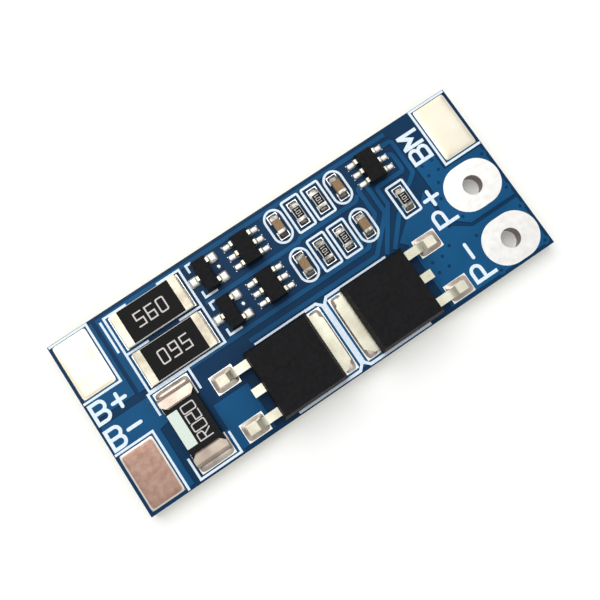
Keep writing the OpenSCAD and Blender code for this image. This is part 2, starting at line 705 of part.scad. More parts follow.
// The whole copper pattern, with every outline moved out by grow
module copper_2d(grow = 0) {
    for (p = pours()) polygon(grown_outline(p, grow));
    for (p = runs()) polygon(grown_strip(round_path(p, 0.3), run_w, grow));
    via_circles(via_land_d + 2 * grow);
}

module board_2d() {
    rect_at([0, 0], board_l, board_w);
}

// A rectangular or round-ended printed frame round a chip part
module chip_frame(round_ends) {
    difference() {
        chip_frame_edge(round_ends, ink_w / 2);
        chip_frame_edge(round_ends, -ink_w / 2);
    }
}

module chip_frame_edge(round_ends, grow) {
    l = chip_full_l - ink_w + 2 * grow;
    w = chip_full_w - ink_w + 2 * grow;
    if (round_ends) rotate(90) obround(l, w);
    else polygon(round_rect(w, l, 0.12 + grow));
}

// A printed line along a path
module ink_line(p, w = ink_w) {
    polygon(strip(p, w));
}

// The printed frame of one power transistor, and its half of the band between the two
module fet_frame() {
    x = fet_tab_gap / 2 - fet_band_w / 4;
    y = fet_frame_half;
    far = fet_body_far + frame_start;
    ink_line([[far, y], [x - frame_bevel, y], [x, y - frame_bevel], [x, frame_bevel - y],
              [x - frame_bevel, -y], [far, -y]], fet_band_w / 2);
}

// Two corner marks beside a small transistor
module sot3_marks() {
    x = -sot3_body_w / 2 - 4 * grid;
    y = sot_body_l / 2 + ink_gap;
    ink_line([[x, y - 7 * grid], [x, y], [x + 5 * grid, y]]);
    ink_line([[x, -y + 6 * grid], [x, -y], [x + 12 * grid, -y]]);
}

// The frame round both balance resistors, with a short line beside it
module balance_frame() {
    reach = balance_full_l / 2 + ink_gap + ink_w;
    x0 = balance_c[0][0] - reach;
    x1 = balance_c[0][0] + reach;
    step = balance_w / 2 + ink_gap + ink_w / 2;
    up = balance_c[0][1] + step;
    low = balance_c[1][1] - step;
    mid = (balance_c[0][1] + balance_c[1][1]) / 2;
    run = reach - frame_break / 2;
    ink_line([[x0, low], [x1, low], [x1, up], [x1 - run, up]]);
    ink_line([[x0, low], [x0, up], [x0 + run, up]]);
    ink_line([[x0, mid], [x0 + run, mid]]);
    ink_line([[x1 - run, mid], [x1, mid]]);
    ink_line([[x0 - 2 * ink_w, up - ink_w / 2], [x0 - 2 * ink_w, up - balance_w]]);
}

// The two brackets at the ends of the shunt
module shunt_frame() {
    x = shunt_land_w / 2 + ink_gap + ink_w;
    y = shunt_full_l / 2 + ink_gap + ink_w / 2;
    for (s = [-1, 1])
        at_point(shunt_c)
            ink_line([[-x, s * (y - bracket_l)], [-x, s * y], [x, s * y], [x, s * (y - bracket_l)]]);
}

// The lines round the battery pads: open towards the board's short edge
module cell_frames() {
    step = ink_gap + ink_w / 2;
    in_x = cell_x + cell_pad_l / 2 + step;
    out_x = left + grid;
    up = top - cell_pad_inset / 2;
    mid = cell_y_up - cell_pad_w / 2 - step;
    low = cell_y_low + cell_pad_w / 2 + step;
    for (m = [0, 1])
        mirror([m, 0]) ink_line([[out_x, up], [in_x, up], [in_x, mid], [out_x, mid]]);
    ink_line([[in_x, bottom + grid], [in_x, low], [out_x, low]]);
}

module legend_2d() {
    cell_frames();
    balance_frame();
    shunt_frame();
    at_fets() fet_frame();
    for (c = sot3_c) at_point(c) sot3_marks();
    for (c = capacitor_c) at_point(c) chip_frame(true);
    for (c = resistor_c) at_point(c) chip_frame(false);
}

// ---------------------------------------------------------------------------- the bare board

module substrate() {
    color("darkkhaki")
        difference() {
            sheet(under_t, z_lam) board_2d();
            load_holes(barrel_d);
            sheet(-1, z_ink + 1) via_circles(via_d);
        }
}

module load_holes(d) {
    for (y = [load_y_low, load_y_up])
        translate([load_x, y, -1]) cylinder(d = d, h = z_land + 2, $fn = 64);
}

// Plated barrels, seated in the laminate and flush with the copper
module vias() {
    color("peru")
        sheet(under_t, z_cu)
            difference() {
                via_circles(via_d);
                via_circles(via_bore);
            }
}

module copper_runs() {
    color("peru")
        difference() {
            sheet(z_lam, z_cu) copper_2d();
            land_cutters();
            sheet(z_lam - 1, z_ink) via_circles(via_d);
        }
}

// The resist lies flat on the laminate, stands up over the copper and spans the vias
module resist_top() {
    color("mediumblue")
        difference() {
            union() {
                sheet(z_lam, z_bare) board_2d();
                intersection() {
                    sheet(z_lam, z_coat) copper_2d(resist_t);
                    sheet(z_lam, z_coat) board_2d();
                }
            }
            sheet(z_lam - 0.5, z_cu) copper_2d();
            land_cutters();
            sheet(z_coat - via_dimple, z_ink) via_circles(via_bore);
        }
}

module land_cutters() {
    sheet(z_lam - 1, z_ink + 1) {
        power_lands_2d();
        signal_lands_2d();
        pads_2d();
    }
}

module resist_bottom() {
    color("mediumblue")
        sheet(0, under_t)
            difference() {
                board_2d();
                load_pads_2d();
            }
}

// Ink with a level top, down to the resist on both of its levels
module legend() {
    color("aliceblue")
        difference() {
            sheet(z_bare, z_ink) legend_2d();
            sheet(z_bare - 0.5, z_coat) copper_2d(resist_t);
            land_cutters();
        }
}

// ---------------------------------------------------------------------------------- the pads

// A flat land with a low dome of tin inside its rim
module cell_pad(x, y) {
    l = cell_pad_l - 2 * cell_rim;
    w = cell_pad_w - 2 * cell_rim;
    translate([x, y, 0]) {
        sheet(z_lam, z_land) rect_at([0, 0], cell_pad_l, cell_pad_w);
        translate([0, 0, z_land])
            intersection() {
                translate([0, 0, -0.02]) linear_extrude(cell_crown + 1) polygon(round_rect(l, w, 0.5));
                translate([0, 0, -0.01]) along_y(arch(l, cell_crown), w);
                translate([0, 0, -0.01]) along_x(arch(w, cell_crown), l);
            }
    }
}

module pad_b_plus() {
    color("silver") cell_pad(cell_x, cell_y_up);
}

module pad_b_minus() {
    color("silver") cell_pad(cell_x, cell_y_low);
}

module pad_b_middle() {
    color("silver") cell_pad(middle_x, cell_y_up);
}

// Lands on both faces and the plated barrel that joins them
module load_pad(y) {
    translate([load_x, y, 0])
        difference() {
            union() {
                sheet(z_lam, z_land) obround(load_pad_l, load_pad_w);
                sheet(0, under_t) obround(load_pad_l, load_pad_w);
                cylinder(d = barrel_d, h = z_land, $fn = 64);
            }
            translate([0, 0, -1]) cylinder(d = wire_hole_d, h = z_land + 2, $fn = 64);
        }
}

module pad_p_plus() {
    color("gainsboro") load_pad(load_y_up);
}

module pad_p_minus() {
    color("gainsboro") load_pad(load_y_low);
}

module power_lands() {
    color("silver") sheet(z_lam, z_land) power_lands_2d();
}

module signal_lands() {
    color("silver") sheet(z_lam, z_land) signal_lands_2d();
}

// ---------------------------------------------------------------------- the power transistors

// The centre line of a formed lead, from inside the body to the toe, with x pointing outwards
function lead_path(embed, shoulder, out, foot, z, t, r) =
    round_path([[-embed, z], [shoulder, z], [out - foot, t / 2], [out, t / 2]], r);

// A formed lead with its foot on z = 0
module formed_lead(embed, shoulder, out, foot, z, t, w, r) {
    along_y(strip(lead_path(embed, shoulder, out, foot, z, t, r), t), w);
}

module fet_lead(side) {
    translate([fet_body_far, side * fet_lead_pitch / 2, z_land]) mirror([1, 0, 0])
        formed_lead(fet_embed, fet_shoulder, fet_lead_out, fet_foot, fet_lead_z, fet_metal_t,
                    fet_lead_w, fet_bend_r);
}

// The drain tab and the cut middle lead are one strip of copper, bent up inside the body
module fet_tab() {
    inner = fet_body_far + 1.5;
    rise = fet_body_far + 0.75;
    translate([0, 0, z_land]) {
        linear_extrude(fet_metal_t)
            polygon([[inner, -fet_tab_w / 2], [-fet_tab_chamfer, -fet_tab_w / 2],
                     [0, -fet_tab_w / 2 + fet_tab_chamfer], [0, fet_tab_w / 2 - fet_tab_chamfer],
                     [-fet_tab_chamfer, fet_tab_w / 2], [inner, fet_tab_w / 2]]);
        along_y(strip(round_path([[inner + 1, fet_metal_t / 2], [inner + 0.3, fet_metal_t / 2],
                                  [rise, fet_lead_z], [fet_body_far - fet_stub_out, fet_lead_z]],
                                 0.3), fet_metal_t), fet_lead_w);
    }
}

// A drafted block, flush with the tab underneath, with a round ejector mark in its top
module fet_body() {
    difference() {
        translate([(fet_body_near + fet_body_far) / 2, 0, z_land])
            difference() {
                moulded(fet_body_l, fet_body_w, 0, fet_lead_z, fet_body_h, 0.08, fet_draft);
                translate([0, 0, fet_body_h - 0.05]) cylinder(d = 1.1, h = 1, $fn = 48);
            }
        fet_tab();
        fet_lead(-1);
        fet_lead(1);
    }
}

module q1_body() {
    color("dimgray") at_q1() fet_body();
}

module q1_drain_tab() {
    color("silver") at_q1() fet_tab();
}

module q1_gate_lead() {
    color("silver") at_q1() fet_lead(1);
}

module q1_source_lead() {
    color("silver") at_q1() fet_lead(-1);
}

module q2_body() {
    color("dimgray") at_q2() fet_body();
}

module q2_drain_tab() {
    color("silver") at_q2() fet_tab();
}

module q2_gate_lead() {
    color("silver") at_q2() fet_lead(1);
}

module q2_source_lead() {
    color("silver") at_q2() fet_lead(-1);
}

// ---------------------------------------------------------------------------------- the shunt

module shunt_element() {
    color("dimgray")
        at_point(shunt_c, z_land)
            translate([-shunt_w / 2 + 0.03, -shunt_l / 2 + shunt_wall, 0])
                cube([shunt_w - 0.06, shunt_l - 2 * shunt_wall, shunt_h]);
}

// A terminal bent over the end of the element: its outer face slopes, and its flap narrows
module shunt_terminal() {
    h = shunt_h + shunt_terminal_t;
    step = 0.45;
    difference() {
        intersection() {
            along_y([[0, 0], [0, h * 0.3], [-0.12, h * 0.75], [-0.34, h], [-shunt_terminal_l + 0.12, h],
                     [-shunt_terminal_l, h - 0.12], [-shunt_terminal_l, 0]], shunt_w);
            linear_extrude(h + 1)
                polygon([[0, -shunt_w / 2], [0, shunt_w / 2], [-shunt_terminal_l + step, shunt_w / 2],
                         [-shunt_terminal_l, shunt_w / 2 - step], [-shunt_terminal_l, step - shunt_w / 2],
                         [-shunt_terminal_l + step, -shunt_w / 2]]);
        }
        translate([-shunt_l, -shunt_w, -1]) cube([shunt_l - shunt_wall, 2 * shunt_w, 1 + shunt_h]);
    }
}

module shunt_terminal_upper() {
    color("silver") at_point(shunt_c, z_land) rotate(90) translate([shunt_l / 2, 0, 0]) shunt_terminal();
}

module shunt_terminal_lower() {
    color("silver") at_point(shunt_c, z_land) rotate(-90) translate([shunt_l / 2, 0, 0]) shunt_terminal();
}

// ------------------------------------------------------------------------------- chip resistors

// Each part of a chip lies along X and stands on z = 0
module chip_ceramic(l, w, h) {
    translate([-l / 2 + chip_end_t, -w / 2, chip_end_t]) cube([l - 2 * chip_end_t, w, h]);
}

// An end cap: a thin metal wrap over the top, the end and the underside
module chip_ends(l, w, h, band) {
    full = h + 2 * chip_end_t;
    r = chip_end_t * 0.9;
    difference() {
        translate([0, 0, full / 2]) along_y(round_rect(l, full, r), w);
        chip_ceramic(l, w + 1, h);
        translate([-l / 2 + band, -w, -1]) cube([l - 2 * band, 2 * w, full + 2]);
    }
}

module chip_coat(l, w, h, band) {
    translate([-l / 2 + band, -w / 2 + 0.04, h + chip_end_t]) cube([l - 2 * band, w - 0.08, coat_t]);
}

module balance_ceramic(i) {
    at_point(balance_c[i], z_land) chip_ceramic(balance_l, balance_w, balance_h);
}

module balance_coat(i) {
    at_point(balance_c[i], z_land) chip_coat(balance_l, balance_w, balance_h, balance_band);
}

module balance_ends(i) {
    at_point(balance_c[i], z_land) chip_ends(balance_l, balance_w, balance_h, balance_band);
}

module balance_1_ceramic() {
    color("white") balance_ceramic(0);
}

module balance_1_coat() {
    color("black") balance_coat(0);
}

module balance_1_ends() {
    color("silver") balance_ends(0);
}

module balance_2_ceramic() {
    color("white") balance_ceramic(1);
}

module balance_2_coat() {
    color("black") balance_coat(1);
}

module balance_2_ends() {
    color("silver") balance_ends(1);
}

module resistor_ceramic(i) {
    color("white") at_point(resistor_c[i], z_land) rotate(90) chip_ceramic(chip_l, chip_w, resistor_h);
}

module r1_ceramic() {
    resistor_ceramic(0);
}

module r2_ceramic() {
    resistor_ceramic(1);
}

module r3_ceramic() {
    resistor_ceramic(2);
}

module r4_ceramic() {
    resistor_ceramic(3);
}

module r5_ceramic() {
    resistor_ceramic(4);
}

module resistor_coats() {
    color("black")
        for (c = resistor_c) at_point(c, z_land) rotate(90)
            chip_coat(chip_l, chip_w, resistor_h, chip_band);
}

module resistor_ends() {
    color("silver")
        for (c = resistor_c) at_point(c, z_land) rotate(90)
            chip_ends(chip_l, chip_w, resistor_h, chip_band);
}

// ---------------------------------------------------------------------------------- capacitors

module capacitor_block() {
    translate([0, 0, chip_end_t])
        soft_block(chip_l - 2 * chip_end_t, chip_w - 2 * chip_end_t, capacitor_h, 0.05);
}

module capacitor_ceramic(i) {
    color("tan") at_point(capacitor_c[i], z_land) rotate(90) capacitor_block();
}

module c1_ceramic() {
    capacitor_ceramic(0);
}

module c2_ceramic() {
    capacitor_ceramic(1);
}

module c3_ceramic() {
    capacitor_ceramic(2);
}

module c4_ceramic() {
    capacitor_ceramic(3);
}

// Dipped end caps that cover all five faces of each end
module capacitor_ends() {
    color("silver")
        for (c = capacitor_c) at_point(c, z_land) rotate(90)
            difference() {
                soft_block(chip_l, chip_w, capacitor_h + 2 * chip_end_t, 0.08);
                capacitor_block();
                translate([-chip_l / 2 + chip_band, -chip_w, -1])
                    cube([chip_l - 2 * chip_band, 2 * chip_w, capacitor_h + 3]);
            }
}

// ------------------------------------------------------------------------ moulded chips and leads

module sot_lead(body_h) {
    translate([0, 0, z_land])
        formed_lead(sot_embed, sot_lead_out - sot_foot - 0.1, sot_lead_out, sot_foot, sot_lead_z(body_h),
                    sot_lead_t, sot_lead_w, sot_bend_r);
}

// Leads leave the body at half its height
function sot_lead_z(body_h) = sot_standoff + body_h / 2;

module sot_body(w, h) {
    translate([0, 0, z_land])
        moulded(w, sot_body_l, sot_standoff, sot_lead_z(h), sot_standoff + h, sot_draft / 2, sot_draft);
}

module sot3_leads(i) {
    at_point(sot3_c[i]) at_sot3_leads() sot_lead(sot3_body_h);
}

module sot6_leads(i) {
    at_point(sot6_c[i]) at_sot6_leads() sot_lead(sot6_body_h);
}

module sot3_body(i) {
    difference() {
        at_point(sot3_c[i]) sot_body(sot3_body_w, sot3_body_h);
        sot3_leads(i);
    }
}

// Six-lead bodies carry a round dimple beside lead one
module sot6_body(i) {
    difference() {
        at_point(sot6_c[i]) sot_body(sot6_body_w, sot6_body_h);
        sot6_leads(i);
        at_point(sot6_c[i], z_land + sot_standoff + sot6_body_h - 0.03)
            translate([-sot6_body_w / 2 + 0.42, -sot_body_l / 2 + 0.42, 0])
                cylinder(d = 0.34, h = 1, $fn = 32);
    }
}

module q3_body() {
    color("dimgray") sot3_body(0);
}

module q3_leads() {
    color("silver") sot3_leads(0);
}

module q4_body() {
    color("dimgray") sot3_body(1);
}

module q4_leads() {
    color("silver") sot3_leads(1);
}

module u1_body() {
    color("dimgray") sot6_body(0);
}

module u1_leads() {
    color("silver") sot6_leads(0);
}

module u2_body() {
    color("dimgray") sot6_body(1);
}

module u2_leads() {
    color("silver") sot6_leads(1);
}

module u3_body() {
    color("dimgray") sot6_body(2);
}

module u3_leads() {
    color("silver") sot6_leads(2);
}

// ------------------------------------------------------------------------------------ the solder

// A mound of solder over a land that runs from x0 to x1, with hollow slopes of the given reaches
module solder(x0, x1, w, h, reach_x, reach_y) {
    translate([(x0 + x1) / 2, 0, z_land])
        intersection() {
            along_y(mound(x1 - x0 - 2 * solder_rim, reach_x, h), w);
            along_x(mound(w - 2 * solder_rim, reach_y, h), x1 - x0);
        }
}

module solder_drain_tabs() {
    color("lightgray")
        at_fets() difference() {
            solder(-fet_tab_out + 0.02, fet_land_out, fet_tab_land_w, solder_h, fet_land_out - solder_rim,
                   (fet_tab_land_w - fet_tab_w) / 2 - solder_rim);
            fet_tab();
            fet_body();
        }
}

module solder_power_leads() {
    color("lightgray")
        at_fets() for (s = [-1, 1]) difference() {
            translate([0, s * fet_lead_pitch / 2, 0])
                solder(fet_land_far, fet_land_far + fet_lead_land_l, fet_lead_land_w, solder_h, 0.4,
                       (fet_lead_land_w - fet_lead_w) / 2 - solder_rim);
            fet_lead(s);
        }
}

module solder_shunt() {
    color("lightgray")
        at_point(shunt_c) at_ends(shunt_l) difference() {
            solder(-0.9, shunt_land_out, shunt_land_w, solder_h, shunt_land_out - solder_rim,
                   (shunt_land_w - shunt_w) / 2 - solder_rim + 0.02);
            translate([-1, -shunt_w / 2, 0]) cube([1, shunt_w, z_land + 2]);
        }
}

module solder_balance() {
    color("lightgray")
        for (c = balance_c) at_point(c) rotate(90) at_ends(balance_l) difference() {
            solder(-0.3, balance_land_out, balance_w, small_solder_h,
                   balance_land_out - solder_rim, 0.1);
            translate([-1, -balance_w, 0]) cube([1, 2 * balance_w, z_land + 2]);
        }
}

module chip_solder(h) {
    difference() {
        solder(-0.7, chip_land_out, chip_land_w, h, chip_land_out - solder_rim, 0.12);
        translate([-1, -chip_land_w, 0]) cube([1, 2 * chip_land_w, z_land + 2]);
    }
}

module solder_capacitors() {
    color("lightgray")
        for (c = capacitor_c) at_point(c) at_ends(chip_l) chip_solder(small_solder_h * 1.5);
}

module solder_resistors() {
    color("lightgray")
        for (c = resistor_c) at_point(c) at_ends(chip_l) chip_solder(small_solder_h);
}

// Solder round a chip's foot
module foot_solder(body_h) {
    difference() {
        solder(sot_lead_out + sot_land_out - sot_land_l, sot_lead_out + sot_land_out, sot_land_w,
               small_solder_h * 0.6, sot_land_out - solder_rim, 0.1);
        sot_lead(body_h);
    }
}

module solder_chips() {
    color("lightgray") {
        for (c = sot3_c) at_point(c) at_sot3_leads() foot_solder(sot3_body_h);
        for (c = sot6_c) at_point(c) at_sot6_leads() foot_solder(sot6_body_h);
    }
}

// ----------------------------------------------------------------------------------------- nodes

substrate();
vias();
copper_runs();
resist_top();
resist_bottom();
legend();
pad_b_plus();
pad_b_minus();
pad_b_middle();
pad_p_plus();
pad_p_minus();
power_lands();
signal_lands();
q1_body();
q1_drain_tab();
q1_gate_lead();
q1_source_lead();
q2_body();
q2_drain_tab();
q2_gate_lead();
q2_source_lead();
shunt_element();
shunt_terminal_upper();
shunt_terminal_lower();
balance_1_ceramic();
balance_1_coat();
balance_1_ends();
balance_2_ceramic();
balance_2_coat();
balance_2_ends();
q3_body();
q3_leads();
q4_body();
q4_leads();
u1_body();
u1_leads();
u2_body();
u2_leads();
u3_body();
u3_leads();
c1_ceramic();
c2_ceramic();
c3_ceramic();
c4_ceramic();
capacitor_ends();
r1_ceramic();
r2_ceramic();
r3_ceramic();
r4_ceramic();
r5_ceramic();
resistor_coats();
resistor_ends();
solder_drain_tabs();
solder_power_leads();
solder_shunt();
solder_balance();
solder_chips();
solder_capacitors();
solder_resistors();
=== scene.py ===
import math
from collections import namedtuple

import bmesh
import bpy
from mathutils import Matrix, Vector


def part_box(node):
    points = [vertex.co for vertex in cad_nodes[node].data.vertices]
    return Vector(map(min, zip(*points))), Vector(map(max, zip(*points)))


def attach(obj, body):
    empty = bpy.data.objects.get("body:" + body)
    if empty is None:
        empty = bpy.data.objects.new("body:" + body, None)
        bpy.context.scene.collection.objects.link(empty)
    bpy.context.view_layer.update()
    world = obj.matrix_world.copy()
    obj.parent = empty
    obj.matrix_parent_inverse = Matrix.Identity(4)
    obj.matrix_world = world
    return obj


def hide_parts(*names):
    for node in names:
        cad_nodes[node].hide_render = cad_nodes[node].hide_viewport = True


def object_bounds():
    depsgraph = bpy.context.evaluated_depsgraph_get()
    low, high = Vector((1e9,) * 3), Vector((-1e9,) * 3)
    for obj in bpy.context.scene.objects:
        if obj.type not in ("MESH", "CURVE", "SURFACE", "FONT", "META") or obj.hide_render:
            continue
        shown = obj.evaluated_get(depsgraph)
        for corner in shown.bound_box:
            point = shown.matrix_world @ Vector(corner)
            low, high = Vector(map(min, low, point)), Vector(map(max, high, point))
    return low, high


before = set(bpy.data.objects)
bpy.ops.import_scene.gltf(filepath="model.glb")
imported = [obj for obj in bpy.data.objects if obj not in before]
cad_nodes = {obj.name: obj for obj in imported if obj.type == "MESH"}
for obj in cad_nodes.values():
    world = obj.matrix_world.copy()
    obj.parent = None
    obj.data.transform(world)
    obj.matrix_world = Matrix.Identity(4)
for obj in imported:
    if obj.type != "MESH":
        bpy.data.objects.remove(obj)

MM = 0.001

cad_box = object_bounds()

# ---------------------------------------------------------------------------- places on the board

COPPER_RELIEF = 0.07 * MM  # how far the coat stands higher over copper
INK = 0.01 * MM  # thickness of a printed value
SMALL_TRANSISTORS = ("q3_body", "q4_body")
CHIP_BODIES = (*SMALL_TRANSISTORS, "u1_body", "u2_body", "u3_body")

board_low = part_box("substrate")[0]
coat_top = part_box("resist_top")[1].z
ink_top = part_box("legend")[1].z
land_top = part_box("power_lands")[1].z
bare_top = coat_top - COPPER_RELIEF


def middle(node):
    """The centre of a node's box."""
    low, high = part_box(node)
    return (low + high) / 2


def joints(node):
    """The box of each connected piece of a CAD node, as lists of its low and its high corner."""
    mesh = bmesh.new()
    mesh.from_mesh(cad_nodes[node].data)
    bmesh.ops.remove_doubles(mesh, verts=mesh.verts, dist=0.001 * MM)
    boxes, seen = [], set()
    for start in mesh.verts:
        if start in seen:
            continue
        piece, fresh = [], [start]
        seen.add(start)
        while fresh:
            vertex = fresh.pop()
            piece.append(vertex.co.copy())
            for edge in vertex.link_edges:
                other = edge.other_vert(vertex)
                if other not in seen:
                    seen.add(other)
                    fresh.append(other)
        boxes.append(([min(c[i] for c in piece) for i in range(3)],
                      [max(c[i] for c in piece) for i in range(3)]))
    mesh.free()
    return boxes


def filled_vias():
    """The via beside each small transistor, which solder fills, at the top of the coat."""
    vias = [((low[0] + high[0]) / 2, (low[1] + high[1]) / 2) for low, high in joints("vias")]
    nearest = [min(vias, key=lambda via: math.dist(via, middle(body).xy))
               for body in SMALL_TRANSISTORS]
    return [(x, y, coat_top) for x, y in nearest]


# ------------------------------------------------------------------------------ material helpers

def finish(name, **values):
    """A new material whose plain values sit on the shader's own sockets."""
    material = bpy.data.materials.new(name)
    material.use_nodes = True
    shader = shader_of(material)
    for socket, value in values.items():
        shader.inputs[socket.replace("_", " ")].default_value = value
    return material


def shader_of(material):
    """The shader that stays in the material itself."""
    return material.node_tree.nodes["Principled BSDF"]


def add(tree, kind, inputs=None, **settings):
    """A new node, with its settings, and with each input set to a value or linked to a socket."""
    node = tree.nodes.new("ShaderNode" + kind)
    for name, value in settings.items():
        setattr(node, name, value)
    for name, value in (inputs or {}).items():
        if isinstance(value, bpy.types.NodeSocket):
            tree.links.new(value, node.inputs[name])
        else:
            node.inputs[name].default_value = value
    return node


def place_of(tree):
    """The object coordinates, which are the board's own frame in metres."""
    return add(tree, "TexCoord").outputs["Object"]


def blend(tree, mask, dark, light):
    """A colour between two others, by a mask."""
    mix = add(tree, "Mix", data_type="RGBA")
    for name, value in (("Factor_Float", mask), ("A_Color", dark), ("B_Color", light)):
        socket = next(s for s in mix.inputs if s.identifier == name)
        if isinstance(value, bpy.types.NodeSocket):
            tree.links.new(value, socket)
        else:
            socket.default_value = value
    return next(s for s in mix.outputs if s.identifier == "Result_Color")


def step(tree, value, low, high, out_low=0.0, out_high=1.0):
    """A value taken from one range to another."""
    return add(tree, "MapRange", {"Value": value, "From Min": low, "From Max": high,
                                  "To Min": out_low, "To Max": out_high}).outputs["Result"]


def calculate(tree, operation, first, second):
    """Two values put together by an operation of the Math node."""
    return add(tree, "Math", {0: first, 1: second}, operation=operation).outputs[0]


def feed(material, **sockets):
    """Links sockets of the material's own nodes to its shader."""
    shader = shader_of(material)
    for name, socket in sockets.items():
        material.node_tree.links.new(socket, shader.inputs[name.replace("_", " ")])


def bump(material, height, depth):
    """Raises the surface by a height map, depth metres at most."""
    tree = material.node_tree
    node = add(tree, "Bump", {"Height": height, "Distance": depth, "Strength": 1.0})
    feed(material, Normal=node.outputs["Normal"])


def linear(tone):
    """A colour given as three sRGB bytes, made linear."""
    shares = [byte / 255 for byte in tone]
    return (*[s / 12.92 if s <= 0.04045 else ((s + 0.055) / 1.055) ** 2.4 for s in shares], 1.0)


# ------------------------------------------------------------------------- shared shader effects

def new_group(name, inputs, outputs):
    """An empty node group with its sockets, and its two end nodes."""
    tree = bpy.data.node_groups.new(name, "ShaderNodeTree")
    for socket, kind, value in inputs:
        made = tree.interface.new_socket(socket, in_out="INPUT", socket_type=kind)
        if value is not None:
            made.default_value = value
    for socket in outputs:
        tree.interface.new_socket(socket, in_out="OUTPUT", socket_type="NodeSocketFloat")
    return tree, tree.nodes.new("NodeGroupInput"), tree.nodes.new("NodeGroupOutput")


def shrunk(tree, place, size):
    """A place counted in cells of a given size."""
    scaled = add(tree, "VectorMath", {0: place}, operation="SCALE")
    tree.links.new(calculate(tree, "DIVIDE", 1.0, size), scaled.inputs["Scale"])
    return scaled.outputs[0]


def grain_group():
    """Soft patches and a fine grain of a given size, as two masks."""
    tree, given, made = new_group(
        "grain",
        [("Place", "NodeSocketVector", None), ("Size", "NodeSocketFloat", MM)],
        ["Patches", "Grain"])
    cells = shrunk(tree, given.outputs["Place"], given.outputs["Size"])
    for socket, scale, detail in (("Patches", 0.35, 2.0), ("Grain", 2.5, 5.0)):
        noise = add(tree, "TexNoise", {"Vector": cells, "Scale": scale, "Detail": detail})
        tree.links.new(step(tree, noise.outputs["Fac"], 0.3, 0.7), made.inputs[socket])
    return tree


def specks_group():
    """Small round specks, a given distance apart and of a given radius, in some of the cells."""
    tree, given, made = new_group(
        "specks",
        [("Place", "NodeSocketVector", None), ("Spacing", "NodeSocketFloat", MM),
         ("Radius", "NodeSocketFloat", 0.1 * MM), ("Share", "NodeSocketFloat", 0.3)],
        ["Specks"])
    spacing = given.outputs["Spacing"]
    cells = add(tree, "TexVoronoi", {"Vector": shrunk(tree, given.outputs["Place"], spacing),
                                     "Scale": 1.0}, feature="F1")
    reach = calculate(tree, "DIVIDE", given.outputs["Radius"], spacing)
    near = calculate(tree, "LESS_THAN", cells.outputs["Distance"], reach)
    lot = add(tree, "SeparateColor", {"Color": cells.outputs["Color"]}).outputs["Red"]
    chosen = calculate(tree, "LESS_THAN", lot, given.outputs["Share"])
    tree.links.new(calculate(tree, "MULTIPLY", near, chosen), made.inputs["Specks"])
    return tree


def raised_group():
    """A mask that rises from one height to another, and is full on the board's underside."""
    tree, given, made = new_group(
        "raised",
        [("Place", "NodeSocketVector", None), ("Low", "NodeSocketFloat", 0.0),
         ("High", "NodeSocketFloat", MM)],
        ["Raised"])
    height = add(tree, "SeparateXYZ", {"Vector": given.outputs["Place"]}).outputs["Z"]
    above = step(tree, height, given.outputs["Low"], given.outputs["High"])
    underside = step(tree, height, 0.1 * MM, 0.2 * MM, 1.0, 0.0)
    tree.links.new(calculate(tree, "MAXIMUM", above, underside), made.inputs["Raised"])
    return tree


GRAIN = grain_group()
SPECKS = specks_group()
RAISED = raised_group()


def effect(tree, group, **values):
    """A shared effect placed in a material, at the board's own place and with its values."""
    node = add(tree, "Group", node_tree=group)
    tree.links.new(place_of(tree), node.inputs["Place"])
    for name, value in values.items():
        node.inputs[name].default_value = value
    return node.outputs


def clear_of(tree, centres, radius):
    """A mask of all that is farther than a radius from each of some centres."""
    mask = 1.0
    for centre in centres:
        away = add(tree, "VectorMath", {0: place_of(tree), 1: centre}, operation="DISTANCE")
        far = step(tree, away.outputs["Value"], 0.95 * radius, radius)
        mask = calculate(tree, "MULTIPLY", mask, far)
    return mask


# -------------------------------------------------------------------------------- the materials

def resist_finish():
    """Glossy blue resist: bright over the copper, navy where the laminate lies under it."""
    deep_blue, bright_blue = linear((12, 71, 112)), linear((19, 84, 130))
    deep_navy, bright_navy = linear((6, 46, 78)), linear((9, 54, 90))
    dust = linear((50, 96, 142))
    slope = {"Low": bare_top + 0.01 * MM, "High": coat_top - 0.03 * MM}
    dimple = {"Low": coat_top - 0.015 * MM, "High": coat_top - 0.005 * MM}
    via_ring = 0.5 * MM
    material = finish("blue_resist", Roughness=0.3, Specular_IOR_Level=0.08)
    tree = material.node_tree
    over_copper = effect(tree, RAISED, **slope)["Raised"]
    away_from_drops = clear_of(tree, filled_vias(), via_ring)
    over_copper = calculate(tree, "MULTIPLY", over_copper, away_from_drops)
    level = effect(tree, RAISED, **dimple)["Raised"]
    patches = effect(tree, GRAIN, Size=1.6 * MM)["Patches"]
    blue = blend(tree, level, bright_navy, blend(tree, patches, deep_blue, bright_blue))
    navy = blend(tree, patches, deep_navy, bright_navy)
    colour = blend(tree, over_copper, navy, blue)
    specks = effect(tree, SPECKS, Spacing=0.5 * MM, Radius=0.05 * MM, Share=0.1)["Specks"]
    feed(material, Base_Color=blend(tree, specks, colour, dust))
    bump(material, effect(tree, GRAIN, Size=0.25 * MM)["Grain"], 0.004 * MM)
    return material


def ink_finish():
    """Bluish white printing ink, a little thin in places."""
    material = finish("white_ink", Roughness=0.5)
    tree = material.node_tree
    thin = effect(tree, GRAIN, Size=0.3 * MM)["Grain"]
    feed(material, Base_Color=blend(tree, thin, linear((205, 226, 244)), linear((238, 247, 253))))
    return material


